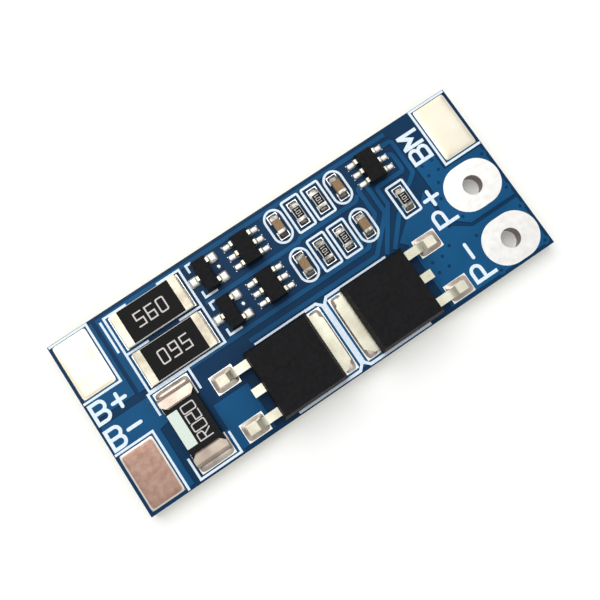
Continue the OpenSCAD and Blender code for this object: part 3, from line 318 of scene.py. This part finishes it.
def laminate_finish():
    """The sawn edge of the glass-epoxy board: pale plies with a fibrous grain."""
    ply_stretch = (1, 1, 14)
    material = finish("sawn_laminate", Roughness=0.62)
    tree = material.node_tree
    stretched = add(tree, "Mapping", {"Vector": place_of(tree), "Scale": ply_stretch})
    noise = add(tree, "TexNoise", {"Vector": stretched.outputs[0], "Scale": 900, "Detail": 4})
    plies = step(tree, noise.outputs["Fac"], 0.35, 0.65)
    feed(material, Base_Color=blend(tree, plies, linear((150, 148, 104)), linear((196, 192, 150))))
    bump(material, plies, 0.02 * MM)
    return material


def copper_finish():
    """Clean copper with soft patches."""
    material = finish("bare_copper", Metallic=1.0, Roughness=0.3)
    tree = material.node_tree
    mask = effect(tree, GRAIN, Size=0.3 * MM)["Patches"]
    feed(material, Base_Color=blend(tree, mask, linear((190, 120, 90)), linear((226, 160, 126))))
    return material


def tin_finish(name, dark, light, roughness=0.3, depth=0.006 * MM, size=0.6 * MM):
    """Hot tin: bright metal with slow ripples and faint warm patches."""
    smoother, rougher = roughness - 0.06, roughness + 0.08
    material = finish(name, Metallic=1.0, Roughness=roughness)
    tree = material.node_tree
    masks = effect(tree, GRAIN, Size=size)
    feed(material, Base_Color=blend(tree, masks["Patches"], linear(dark), linear(light)),
         Roughness=step(tree, masks["Grain"], 0, 1, smoother, rougher))
    bump(material, masks["Patches"], depth)
    return material


def banded_pad_finish(name, low, high, lower_tone, dark, light, roughness):
    """A metal pad with one tone between its faces and a mottled one on them."""
    material = finish(name, Metallic=1.0, Roughness=roughness)
    tree = material.node_tree
    mottle = effect(tree, GRAIN, Size=1.4 * MM)["Grain"]
    face = blend(tree, mottle, linear(dark), linear(light))
    # below the raised faces lies the lower tone: a rim of tin on the copper pad, painted shade in
    # the load pads' wire holes
    raised = effect(tree, RAISED, Low=low, High=high)["Raised"]
    feed(material, Base_Color=blend(tree, raised, linear(lower_tone), face))
    bump(material, mottle, 0.004 * MM)
    return material


def copper_pad_finish():
    """A pad of bare copper under flux, in a rim of bright tin."""
    return banded_pad_finish(
        "copper_pad", low=land_top + 0.016 * MM, high=land_top + 0.026 * MM,
        lower_tone=(206, 198, 190), dark=(146, 115, 101), light=(170, 140, 126), roughness=0.36)


def load_pad_finish():
    """White tin on top, and painted shade on the plated wall down in the wire hole."""
    # the lower tone, well below the pad's top, is painted shade in the wire hole
    return banded_pad_finish(
        "load_pad", low=land_top - 0.12 * MM, high=land_top - 0.05 * MM,
        lower_tone=(128, 112, 110), dark=(232, 230, 226), light=(246, 245, 242), roughness=0.34)


def mould_finish():
    """Moulding compound: dark and matte, with a fine spark-eroded grain."""
    material = finish("moulding_compound", Roughness=0.55, Specular_IOR_Level=0.08)
    tree = material.node_tree
    masks = effect(tree, GRAIN, Size=0.12 * MM)
    colour = blend(tree, masks["Patches"], linear((20, 20, 22)), linear((28, 27, 29)))
    feed(material, Base_Color=colour)
    bump(material, masks["Grain"], 0.012 * MM)
    return material


def glaze_finish(name, dark, light, roughness, shine=0.5):
    """A thin printed glaze or paint."""
    material = finish(name, Roughness=roughness, Specular_IOR_Level=shine)
    tree = material.node_tree
    mask = effect(tree, GRAIN, Size=0.3 * MM)["Grain"]
    feed(material, Base_Color=blend(tree, mask, linear(dark), linear(light)))
    bump(material, mask, 0.003 * MM)
    return material


FINISHES = {
    "resist": resist_finish(),
    "ink": ink_finish(),
    "laminate": laminate_finish(),
    "copper": copper_finish(),
    "tin": tin_finish("hot_tin", (222, 219, 212), (246, 245, 239)),
    "solder": tin_finish("solder", (176, 162, 150), (230, 219, 208), roughness=0.4,
                         depth=0.015 * MM, size=0.4 * MM),
    "lead_metal": tin_finish("plated_lead", (196, 192, 172), (228, 226, 208), roughness=0.34),
    "mould": mould_finish(),
    "shunt_coat": glaze_finish("shunt_paint", (24, 25, 27), (32, 33, 35), roughness=0.55,
                               shine=0.06),
    "alumina": glaze_finish("white_ceramic", (226, 224, 214), (240, 238, 230), roughness=0.55),
    "resistor_coat": glaze_finish("black_glaze", (18, 18, 19), (26, 26, 27), roughness=0.5,
                                  shine=0.08),
    "capacitor_ceramic": glaze_finish("tan_ceramic", (126, 100, 70), (156, 128, 94),
                                      roughness=0.5, shine=0.2),
}

# tin painted dark for the small chips' ends: a painted reflection of the dim surroundings in their
# steep faces
DARK_PAINTED_TIN = tin_finish("tin_painted_dark", (74, 72, 68), (200, 197, 190), roughness=0.26,
                      depth=0.02 * MM, size=0.25 * MM)
CAP_TIN = tin_finish("cap_tin", (164, 156, 138), (212, 206, 188), roughness=0.4,
                     depth=0.012 * MM, size=0.7 * MM)
PINK_PLATE = tin_finish("pink_plate", (190, 174, 160), (216, 202, 188), roughness=0.34)
ROSE_PLATE = tin_finish("rose_plate", (146, 130, 118), (198, 184, 170), roughness=0.34)
LOAD_PAD = load_pad_finish()

NODE_FINISHES = {
    "resistor_ends": DARK_PAINTED_TIN,
    "capacitor_ends": DARK_PAINTED_TIN,
    "balance_1_ends": CAP_TIN,
    "balance_2_ends": CAP_TIN,
    "shunt_terminal_upper": PINK_PLATE,
    "shunt_terminal_lower": ROSE_PLATE,
    "pad_p_plus": LOAD_PAD,
    "pad_p_minus": LOAD_PAD,
}


def dress_cad_nodes():
    """Gives each CAD node a finish of its own, or the finish of its slot."""
    for name, node in cad_nodes.items():
        slot = node.material_slots[0]
        slot.material = NODE_FINISHES.get(name) or FINISHES[slot.material.name.split(".")[0]]


# ----------------------------------------------------------------------------- printed characters

# Each character function takes the thickness t of its strokes and gives its outlines, in units of
# which CAP make its height. An outline inside another is a hole.

CAP = 2.0
WIDE = 1.5  # width of a printed letter
NARROW = 1.2  # width of a segment character

# the height of a row of characters, the way from one to the next and the stroke, in mm
Lettering = namedtuple("Lettering", "height advance stroke")
B_PLUS_LETTERS = Lettering(height=1.98, advance=1.75, stroke=0.3)
B_MINUS_LETTERS = Lettering(height=1.98, advance=1.73, stroke=0.3)
B_MIDDLE_LETTERS = Lettering(height=1.96, advance=1.52, stroke=0.3)
LOAD_LETTERS = Lettering(height=2.13, advance=1.93, stroke=0.3)
BALANCE_FIGURES = Lettering(height=1.3, advance=1.06, stroke=0.12)
SHUNT_FIGURES = Lettering(height=1.27, advance=0.83, stroke=0.1)
SMALL_FIGURES = Lettering(height=0.42, advance=0.3, stroke=0.05)


def arc(x, y, radius, start, end, steps=10):
    """Points of an arc, from one angle to another, in degrees."""
    angles = [math.radians(start + (end - start) * i / steps) for i in range(steps + 1)]
    return [(x + radius * math.cos(a), y + radius * math.sin(a)) for a in angles]


def rounded_box(x0, y0, x1, y1, r):
    """Points of a rectangle with round corners."""
    return [*arc(x0 + r, y0 + r, r, 180, 270, 3), *arc(x1 - r, y0 + r, r, 270, 360, 3),
            *arc(x1 - r, y1 - r, r, 0, 90, 3), *arc(x0 + r, y1 - r, r, 90, 180, 3)]


def letter_b(t):
    """Two equal bowls on a stem."""
    bowl = 0.575
    x = WIDE - bowl
    waist = math.degrees(math.asin((CAP / 2 - bowl) / bowl))
    outer = [(0, 0), *arc(x, bowl, bowl, -90, waist), *arc(x, CAP - bowl, bowl, -waist, 90),
             (0, CAP)]
    low_eye = [(t, t), *arc(x, bowl, bowl - t, -90, 90), (t, 2 * bowl - t)]
    return [outer, low_eye, [(x, CAP - y) for x, y in low_eye]]


def letter_p(t):
    """One bowl at the top of a stem."""
    bowl = 0.57
    x, y = WIDE - bowl, CAP - bowl
    eye = [(t, y - bowl + t), *arc(x, y, bowl - t, -90, 90), (t, CAP - t)]
    return [[(0, 0), (t, 0), (t, y - bowl), *arc(x, y, bowl, -90, 90), (0, CAP)], eye]


def letter_m(t):
    """Two stems with a V between them."""
    w, x, valley, shoulder = WIDE, WIDE / 2, 0.55, 1.25
    return [[(0, 0), (t, 0), (t, shoulder), (x, valley), (w - t, shoulder), (w - t, 0), (w, 0),
             (w, CAP), (w - t, CAP), (x, valley + 2.2 * t), (t, CAP), (0, CAP)]]


def plus_sign(t):
    """Four arms with round ends, drawn one after another round the middle."""
    reach = (WIDE - t) / 2
    outline = []
    for turn in range(4):
        arm = [(t / 2, -t / 2), *arc(reach, 0, t / 2, -90, 90, 6)]
        for x, y in arm:
            for _ in range(turn):
                x, y = -y, x
            outline.append((WIDE / 2 + x, CAP / 2 + y))
    return [outline]


def minus_sign(t):
    """One arm with round ends."""
    y = CAP / 2
    return [[*arc(t / 2, y, t / 2, 90, 270, 6), *arc(WIDE - t / 2, y, t / 2, -90, 90, 6)]]


def segment_r(t):
    """A round bowl on a stem, and a slanted leg."""
    w, y, bowl, knee, slant = NARROW, CAP / 2, 0.3, 0.5, 1.2 * t
    eye = [(t, y + t / 2), *arc(w - bowl, y + bowl, bowl - t, -90, 0, 4),
           *arc(w - bowl, CAP - bowl, bowl - t, 0, 90, 4), (t, CAP - t)]
    return [[(0, 0), (t, 0), (t, y - t / 2), (knee, y - t / 2), (w - slant, 0), (w, 0),
             (knee + slant, y - t / 2), *arc(w - bowl, y + bowl, bowl, -60, 0, 4),
             *arc(w - bowl, CAP - bowl, bowl, 0, 90, 4), (0, CAP)], eye]


def segment_0(t):
    """A ring with round corners."""
    corner = 0.25
    return [rounded_box(inset, inset, NARROW - inset, CAP - inset, corner - inset / 2)
            for inset in (0, t)]


def segment_1(t):
    """A stem with a flag."""
    x, flag, lip = NARROW / 2, 0.35, 1.4 * t
    return [[(x, 0), (x + t, 0), (x + t, CAP), (x, CAP), (x - flag, CAP - flag),
             (x - flag, CAP - flag - lip), (x, CAP - lip)]]


def segment_5(t):
    """An S of straight strokes."""
    w, y = NARROW, CAP / 2
    return [[(0, 0), (w, 0), (w, y + t / 2), (t, y + t / 2), (t, CAP - t), (w, CAP - t), (w, CAP),
             (0, CAP), (0, y - t / 2), (w - t, y - t / 2), (w - t, t), (0, t)]]


def segment_2(t):
    """The mirror image of a 5."""
    return [[(NARROW - x, y) for x, y in segment_5(t)[0]]]


def segment_6(t):
    """A closed lower half under an open upper one."""
    w, y = NARROW, CAP / 2
    outer = [(0, 0), (w, 0), (w, y + t / 2), (t, y + t / 2), (t, CAP - t), (w, CAP - t), (w, CAP),
             (0, CAP)]
    return [outer, [(t, t), (w - t, t), (w - t, y - t / 2), (t, y - t / 2)]]


CHARACTERS = {
    "B": letter_b, "M": letter_m, "P": letter_p, "+": plus_sign, "-": minus_sign,
    "R": segment_r, "0": segment_0, "1": segment_1, "2": segment_2, "5": segment_5,
    "6": segment_6,
}


def flat_piece(name, outlines, low, high, material):
    """A thin printed sheet between two levels; an outline inside another is a hole."""
    curve = bpy.data.curves.new(name, "CURVE")
    curve.dimensions = "2D"
    curve.fill_mode = "BOTH"
    curve.extrude = (high - low) / 2
    for outline in outlines:
        spline = curve.splines.new("POLY")
        spline.points.add(len(outline) - 1)
        spline.use_cyclic_u = True
        for point, (x, y) in zip(spline.points, outline):
            point.co = (x, y, 0, 1)
    piece = bpy.data.objects.new(name, curve)
    bpy.context.scene.collection.objects.link(piece)
    bpy.ops.object.select_all(action="DESELECT")
    bpy.context.view_layer.objects.active = piece
    piece.select_set(True)
    bpy.ops.object.convert(target="MESH")
    piece = bpy.context.object
    piece.location.z = (high + low) / 2
    bpy.ops.object.transform_apply(location=True)
    bpy.ops.object.mode_set(mode="EDIT")
    bpy.ops.mesh.select_all(action="SELECT")
    bpy.ops.mesh.remove_doubles(threshold=0.0001 * MM)
    bpy.ops.mesh.normals_make_consistent(inside=False)
    bpy.ops.object.mode_set(mode="OBJECT")
    piece.data.materials.clear()
    piece.data.materials.append(material)
    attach(piece, "root")


def mark(name, text, lettering, corner, turn, levels, material):
    """A row of characters from its lower left corner, turned about it by some degrees."""
    size, advance = lettering.height * MM / CAP, lettering.advance * MM
    c, s = math.cos(math.radians(turn)), math.sin(math.radians(turn))
    outlines = []
    for i, character in enumerate(text):
        for outline in CHARACTERS[character](lettering.stroke * MM / size):
            row = [(i * advance + x * size, y * size) for x, y in outline]
            outlines.append([(corner[0] + c * x - s * y, corner[1] + s * x + c * y) for x, y in row])
    flat_piece(name, outlines, *levels, material)


def terminal_marks(material):
    """The names of the terminals, printed beside their pads."""
    levels = (bare_top, ink_top)
    left = board_low.x + 0.22 * MM
    below_b_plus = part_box("pad_b_plus")[0].y - 2.45 * MM
    above_b_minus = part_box("pad_b_minus")[1].y + 0.41 * MM
    mark("mark_b_plus", "B+", B_PLUS_LETTERS, (left, below_b_plus), 0, levels, material)
    mark("mark_b_minus", "B-", B_MINUS_LETTERS, (left, above_b_minus), 0, levels, material)
    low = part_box("pad_b_middle")[0]
    mark("mark_b_middle", "BM", B_MIDDLE_LETTERS, (low.x - 0.56 * MM, low.y + 1.02 * MM), 90,
         levels, material)
    for node, text in (("pad_p_plus", "P+"), ("pad_p_minus", "P-")):
        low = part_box(node)[0]
        mark(node.replace("pad", "mark"), text, LOAD_LETTERS,
             (low.x + 0.055 * MM, low.y + 0.39 * MM), 90, levels, material)


def balance_values(material):
    """The same number on both balance resistors, upside down on the second."""
    width, height = 2.9 * MM, 1.3 * MM
    for i, turn, side in ((1, 0, 1), (2, 180, -1)):
        coat = f"balance_{i}_coat"
        spot, top = middle(coat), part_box(coat)[1].z
        corner = (spot.x - side * width / 2, spot.y - side * height / 2)
        mark(f"value_balance_{i}", "560", BALANCE_FIGURES, corner, turn, (top, top + INK),
             material)


def shunt_value(material):
    """A number on the shunt's coat."""
    spot, top = middle("shunt_element"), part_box("shunt_element")[1].z
    mark("value_shunt", "R020", SHUNT_FIGURES, (spot.x + 0.97 * MM, spot.y - 1.53 * MM), 90,
         (top, top + INK), material)


def small_values(material):
    """A number on each small resistor."""
    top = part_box("resistor_coats")[1].z
    for i in range(1, 6):
        spot = middle(f"r{i}_ceramic")
        mark(f"value_r{i}", "101", SMALL_FIGURES, (spot.x + 0.21 * MM, spot.y - 0.42 * MM), 90,
             (top, top + INK), material)


def shunt_stripe(material):
    """A pale printed stripe along the shunt."""
    spot, top = middle("shunt_element"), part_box("shunt_element")[1].z
    left, right = spot.x - 1.5 * MM, spot.x - 0.53 * MM
    lower, upper = spot.y - 1.5 * MM, spot.y + 1.7 * MM
    outline = rounded_box(left, lower, right, upper, 0.05 * MM)
    flat_piece("shunt_stripe", [outline], top, top + 2 * INK, material)


# ---------------------------------------------------------------------------- solder and pads

SMOOTHING = 2  # levels of subdivision on every soft piece
BEAD_CUTS = 2
BEAD_FOOT = 0.02 * MM
PAD_CUTS = 9  # enough to keep a pad's corners crisp

# inset from the edge and height over the land, in mm: the rim, the groove and the crown
PAD_PROFILE = ((0.0, -0.03), (0.0, 0.0), (0.04, 0.012), (0.13, 0.014), (0.22, 0.035), (0.5, 0.045),
               (1.1, 0.05))

DROP_RADIUS = 0.21 * MM
DROP_SINK = 0.05 * MM
DROP_RISES = ((0.06, 1.0), (0.05, 0.88), (0.04, 0.5))  # in mm, each with its share of the width


def stretch(low, high, centres, reach):
    """Makes a box longer on the side that faces the nearest of some centres."""
    spot = Vector([(a + b) / 2 for a, b in zip(low, high)])
    way = min((centre - spot for centre in centres), key=lambda v: v.xy.length)
    axis = 0 if abs(way.x) > abs(way.y) else 1
    if way[axis] > 0:
        high[axis] += reach
    else:
        low[axis] -= reach


def widen(low, high, reach):
    """Makes a box wider across the board if its nearest chip is a small transistor."""
    spot = ((low[0] + high[0]) / 2, (low[1] + high[1]) / 2)
    if min(CHIP_BODIES, key=lambda body: math.dist(spot, middle(body).xy)) in SMALL_TRANSISTORS:
        low[1] -= reach
        high[1] += reach


def start_piece(name):
    """An empty mesh at the origin, open in edit mode."""
    bpy.ops.object.select_all(action="DESELECT")
    bpy.ops.mesh.primitive_plane_add(size=MM, location=(0, 0, 0))
    bpy.context.object.name = name
    bpy.ops.object.mode_set(mode="EDIT")
    bpy.ops.mesh.select_all(action="SELECT")
    bpy.ops.mesh.delete(type="VERT")
    return bpy.context.object


def mound(low, high, cuts, sections):
    """A crowned slab on a rectangle; each section has its inset from the edge and its height."""
    bpy.ops.mesh.select_all(action="DESELECT")
    centre = ((low[0] + high[0]) / 2, (low[1] + high[1]) / 2, low[2])
    size = [high[0] - low[0], high[1] - low[1]]
    bpy.ops.mesh.primitive_plane_add(size=1, location=centre)
    bpy.ops.transform.resize(value=(*size, 1), center_override=centre)
    bpy.ops.mesh.subdivide(number_cuts=cuts)
    before, level = (1.0, 1.0), 0.0
    for inset, height in sections:
        share = [1 - 2 * inset / side for side in size]
        bpy.ops.mesh.extrude_region_move(TRANSFORM_OT_translate={"value": (0, 0, height - level)})
        ratio = [now / last for now, last in zip(share, before)]
        bpy.ops.transform.resize(value=(*ratio, 1), center_override=centre)
        before, level = share, height


def end_piece(piece, material, node=None):
    """Closes a piece: outward faces, a smooth surface, its finish and the node it replaces."""
    bpy.ops.mesh.select_all(action="SELECT")
    bpy.ops.mesh.normals_make_consistent(inside=False)
    bpy.ops.object.mode_set(mode="OBJECT")
    bpy.ops.object.shade_smooth()
    smooth = piece.modifiers.new("smooth", "SUBSURF")
    smooth.levels = SMOOTHING
    smooth.render_levels = SMOOTHING
    bpy.ops.object.modifier_apply(modifier=smooth.name)
    piece.data.materials.clear()
    piece.data.materials.append(material)
    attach(piece, "root")
    if node:
        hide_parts(node)


def solder_beads(node, material, height, parts=(), reach=0.0, steep=0.22, grow=0.0, wider=0.0):
    """Smooth mounds in place of a node's joints.

    They reach towards their parts, grow on all sides and are wider on the small transistors.
    """
    piece = start_piece(node.replace("solder", "beads"))
    centres = [middle(part) for part in parts]
    for low, high in joints(node):
        if centres:
            stretch(low, high, centres, reach)
        for axis in (0, 1):
            low[axis] -= grow
            high[axis] += grow
        if wider:
            widen(low, high, wider)
        half_width = min(high[0] - low[0], high[1] - low[1]) / 2
        flank = steep * half_width
        mound(low, high, BEAD_CUTS,
              [(0.0, BEAD_FOOT), (flank, 0.4 * height), (2 * flank, 0.85 * height),
               (0.7 * half_width, height)])
    end_piece(piece, material, node)


def via_drops(material):
    """A round drop of solder on the via beside each small transistor."""
    piece = start_piece("via_drops")
    for x, y, top in filled_vias():
        foot = (x, y, top - DROP_SINK)
        bpy.ops.mesh.select_all(action="DESELECT")
        bpy.ops.mesh.primitive_circle_add(vertices=8, radius=DROP_RADIUS, fill_type="NGON",
                                          location=foot)
        for rise, ratio in DROP_RISES:
            bpy.ops.mesh.extrude_region_move(TRANSFORM_OT_translate={"value": (0, 0, rise * MM)})
            bpy.ops.transform.resize(value=(ratio, ratio, 1), center_override=foot)
    end_piece(piece, material)


def battery_pad(node, material):
    """A crowned pad in a narrow rim."""
    low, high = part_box(node)
    base = land_top - low.z
    piece = start_piece(node.replace("pad", "crown"))
    mound(low, high, PAD_CUTS, [(inset * MM, base + rise * MM) for inset, rise in PAD_PROFILE])
    end_piece(piece, material, node)


def all_solder():
    """The joints of every part, in bright solder, white solder, and solder painted dark on the small
    chips as a painted reflection.
    """
    bright = FINISHES["solder"]
    white = tin_finish("white_solder", (222, 219, 212), (250, 249, 244), roughness=0.42,
                       depth=0.01 * MM, size=0.3 * MM)
    # solder painted dark: a painted reflection of the dim surroundings in the small chips' steep
    # joints
    dark = tin_finish("solder_painted_dark", (66, 64, 62), (150, 146, 140), roughness=0.24,
                      depth=0.02 * MM, size=0.2 * MM)
    for node in ("solder_power_leads", "solder_drain_tabs", "solder_shunt"):
        solder_beads(node, bright, height=0.28 * MM)
    solder_beads("solder_chips", white, height=0.27 * MM, steep=0.14, grow=0.06 * MM,
                 wider=0.17 * MM)
    via_drops(white)
    solder_beads("solder_resistors", dark, height=0.2 * MM, reach=0.25 * MM,
                 parts=[f"r{i}_ceramic" for i in range(1, 6)])
    solder_beads("solder_capacitors", dark, height=0.28 * MM, reach=0.25 * MM,
                 parts=[f"c{i}_ceramic" for i in range(1, 5)])
    solder_beads("solder_balance", bright, height=0.2 * MM, reach=0.12 * MM,
                 parts=[f"balance_{i}_coat" for i in (1, 2)])


def all_battery_pads():
    """Two tinned pads and one of bare copper."""
    cream = tin_finish("cream_tin", (214, 202, 178), (236, 232, 216), roughness=0.36,
                       size=2.2 * MM)
    battery_pad("pad_b_plus", cream)
    battery_pad("pad_b_middle", cream)
    battery_pad("pad_b_minus", copper_pad_finish())


# --------------------------------------------------------------------------- floor, light, camera

def floor_finish():
    """White paper with a faint glow for the camera, stronger far from the board."""
    white, paper_white = (1, 1, 1, 1), (0.86, 0.86, 0.855, 1)
    near, far, faint, full = 0.03, 0.2, 0.12, 0.9
    material = bpy.data.materials.new("pale_floor")
    material.use_nodes = True
    tree = material.node_tree
    tree.nodes.remove(shader_of(material))
    paper = add(tree, "BsdfDiffuse", {"Color": paper_white})
    rays = add(tree, "LightPath").outputs
    seen = calculate(tree, "MAXIMUM", rays["Is Camera Ray"], rays["Is Glossy Ray"])
    seen = calculate(tree, "MAXIMUM", seen, rays["Is Transmission Ray"])
    away = add(tree, "VectorMath", {0: place_of(tree)}, operation="LENGTH").outputs["Value"]
    strength = calculate(tree, "MULTIPLY", seen, step(tree, away, near, far, faint, full))
    glow = add(tree, "Emission", {"Color": white, "Strength": strength})
    both = add(tree, "AddShader", {0: paper.outputs[0], 1: glow.outputs[0]})
    tree.links.new(both.outputs[0], tree.nodes["Material Output"].inputs["Surface"])
    return material


def pale_floor():
    """A white floor that keeps the board's shadow."""
    below = 0.005 * MM
    bpy.ops.mesh.primitive_plane_add(size=4, location=(0, 0, cad_box[0][2] - below))
    floor = bpy.context.object
    floor.name = "floor"
    floor.data.materials.append(floor_finish())


def studio_world():
    """A soft white sky, bright overhead and dimmer low down, and plain white to the camera."""
    low_sky, high_sky = 0.3, 0.95
    world = bpy.data.worlds.new("studio")
    bpy.context.scene.world = world
    world.use_nodes = True
    tree = world.node_tree
    direction = add(tree, "TexCoord").outputs["Generated"]
    up = add(tree, "SeparateXYZ", {"Vector": direction}).outputs["Z"]
    level = step(tree, up, 0.0, 1.0, low_sky, high_sky)
    seen = add(tree, "LightPath").outputs["Is Camera Ray"]
    sky = tree.nodes["Background"]
    tree.links.new(calculate(tree, "MAXIMUM", seen, level), sky.inputs["Strength"])
    sky.inputs["Color"].default_value = (1, 1, 1, 1)


def hang(name, data, spot, back):
    """Puts a lamp or a camera at a spot, with its back to a direction."""
    thing = bpy.data.objects.new(name, data)
    thing.location = spot
    thing.rotation_euler = (-back).to_track_quat("-Z", "Y").to_euler()
    bpy.context.scene.collection.objects.link(thing)
    return thing


def direction_to(azimuth, height):
    """The direction from the board at an azimuth and a height, both in degrees."""
    a, h = math.radians(azimuth), math.radians(height)
    return Vector((math.cos(a) * math.cos(h), math.sin(a) * math.cos(h), math.sin(h)))


def key_light():
    """A large square soft box behind the board."""
    data = bpy.data.lights.new("key_light", "AREA")
    data.size = 0.22
    data.energy = 0.42
    distance = 0.3
    out = direction_to(azimuth=100, height=62)
    hang("key_light", data, out * distance, out)


def look_down_camera():
    """Almost straight down on the board, which lies slantwise in the frame."""
    aim = Vector((1.656 * MM, 2.935 * MM, land_top))
    distance = 67.03 * MM
    data = bpy.data.cameras.new("camera")
    data.lens = 48
    data.sensor_width = 36
    data.shift_y = -0.076
    data.clip_start = 0.001
    data.clip_end = 10
    back = direction_to(azimuth=-123.89, height=90 - 9.13)
    bpy.context.scene.camera = hang("camera", data, aim + back * distance, back)


# ------------------------------------------------------------------------------------ the scene

bpy.ops.object.select_all(action="DESELECT")
bpy.context.scene.view_settings.view_transform = "Standard"
look_down_camera()
pale_floor()
studio_world()
key_light()
dress_cad_nodes()
all_solder()
all_battery_pads()
terminal_marks(FINISHES["ink"])
value_ink = glaze_finish("value_ink", (196, 190, 186), (216, 210, 206), roughness=0.5)
balance_values(value_ink)
shunt_value(value_ink)
small_values(value_ink)
shunt_stripe(glaze_finish("stripe_ink", (206, 222, 210), (224, 234, 224), roughness=0.5))
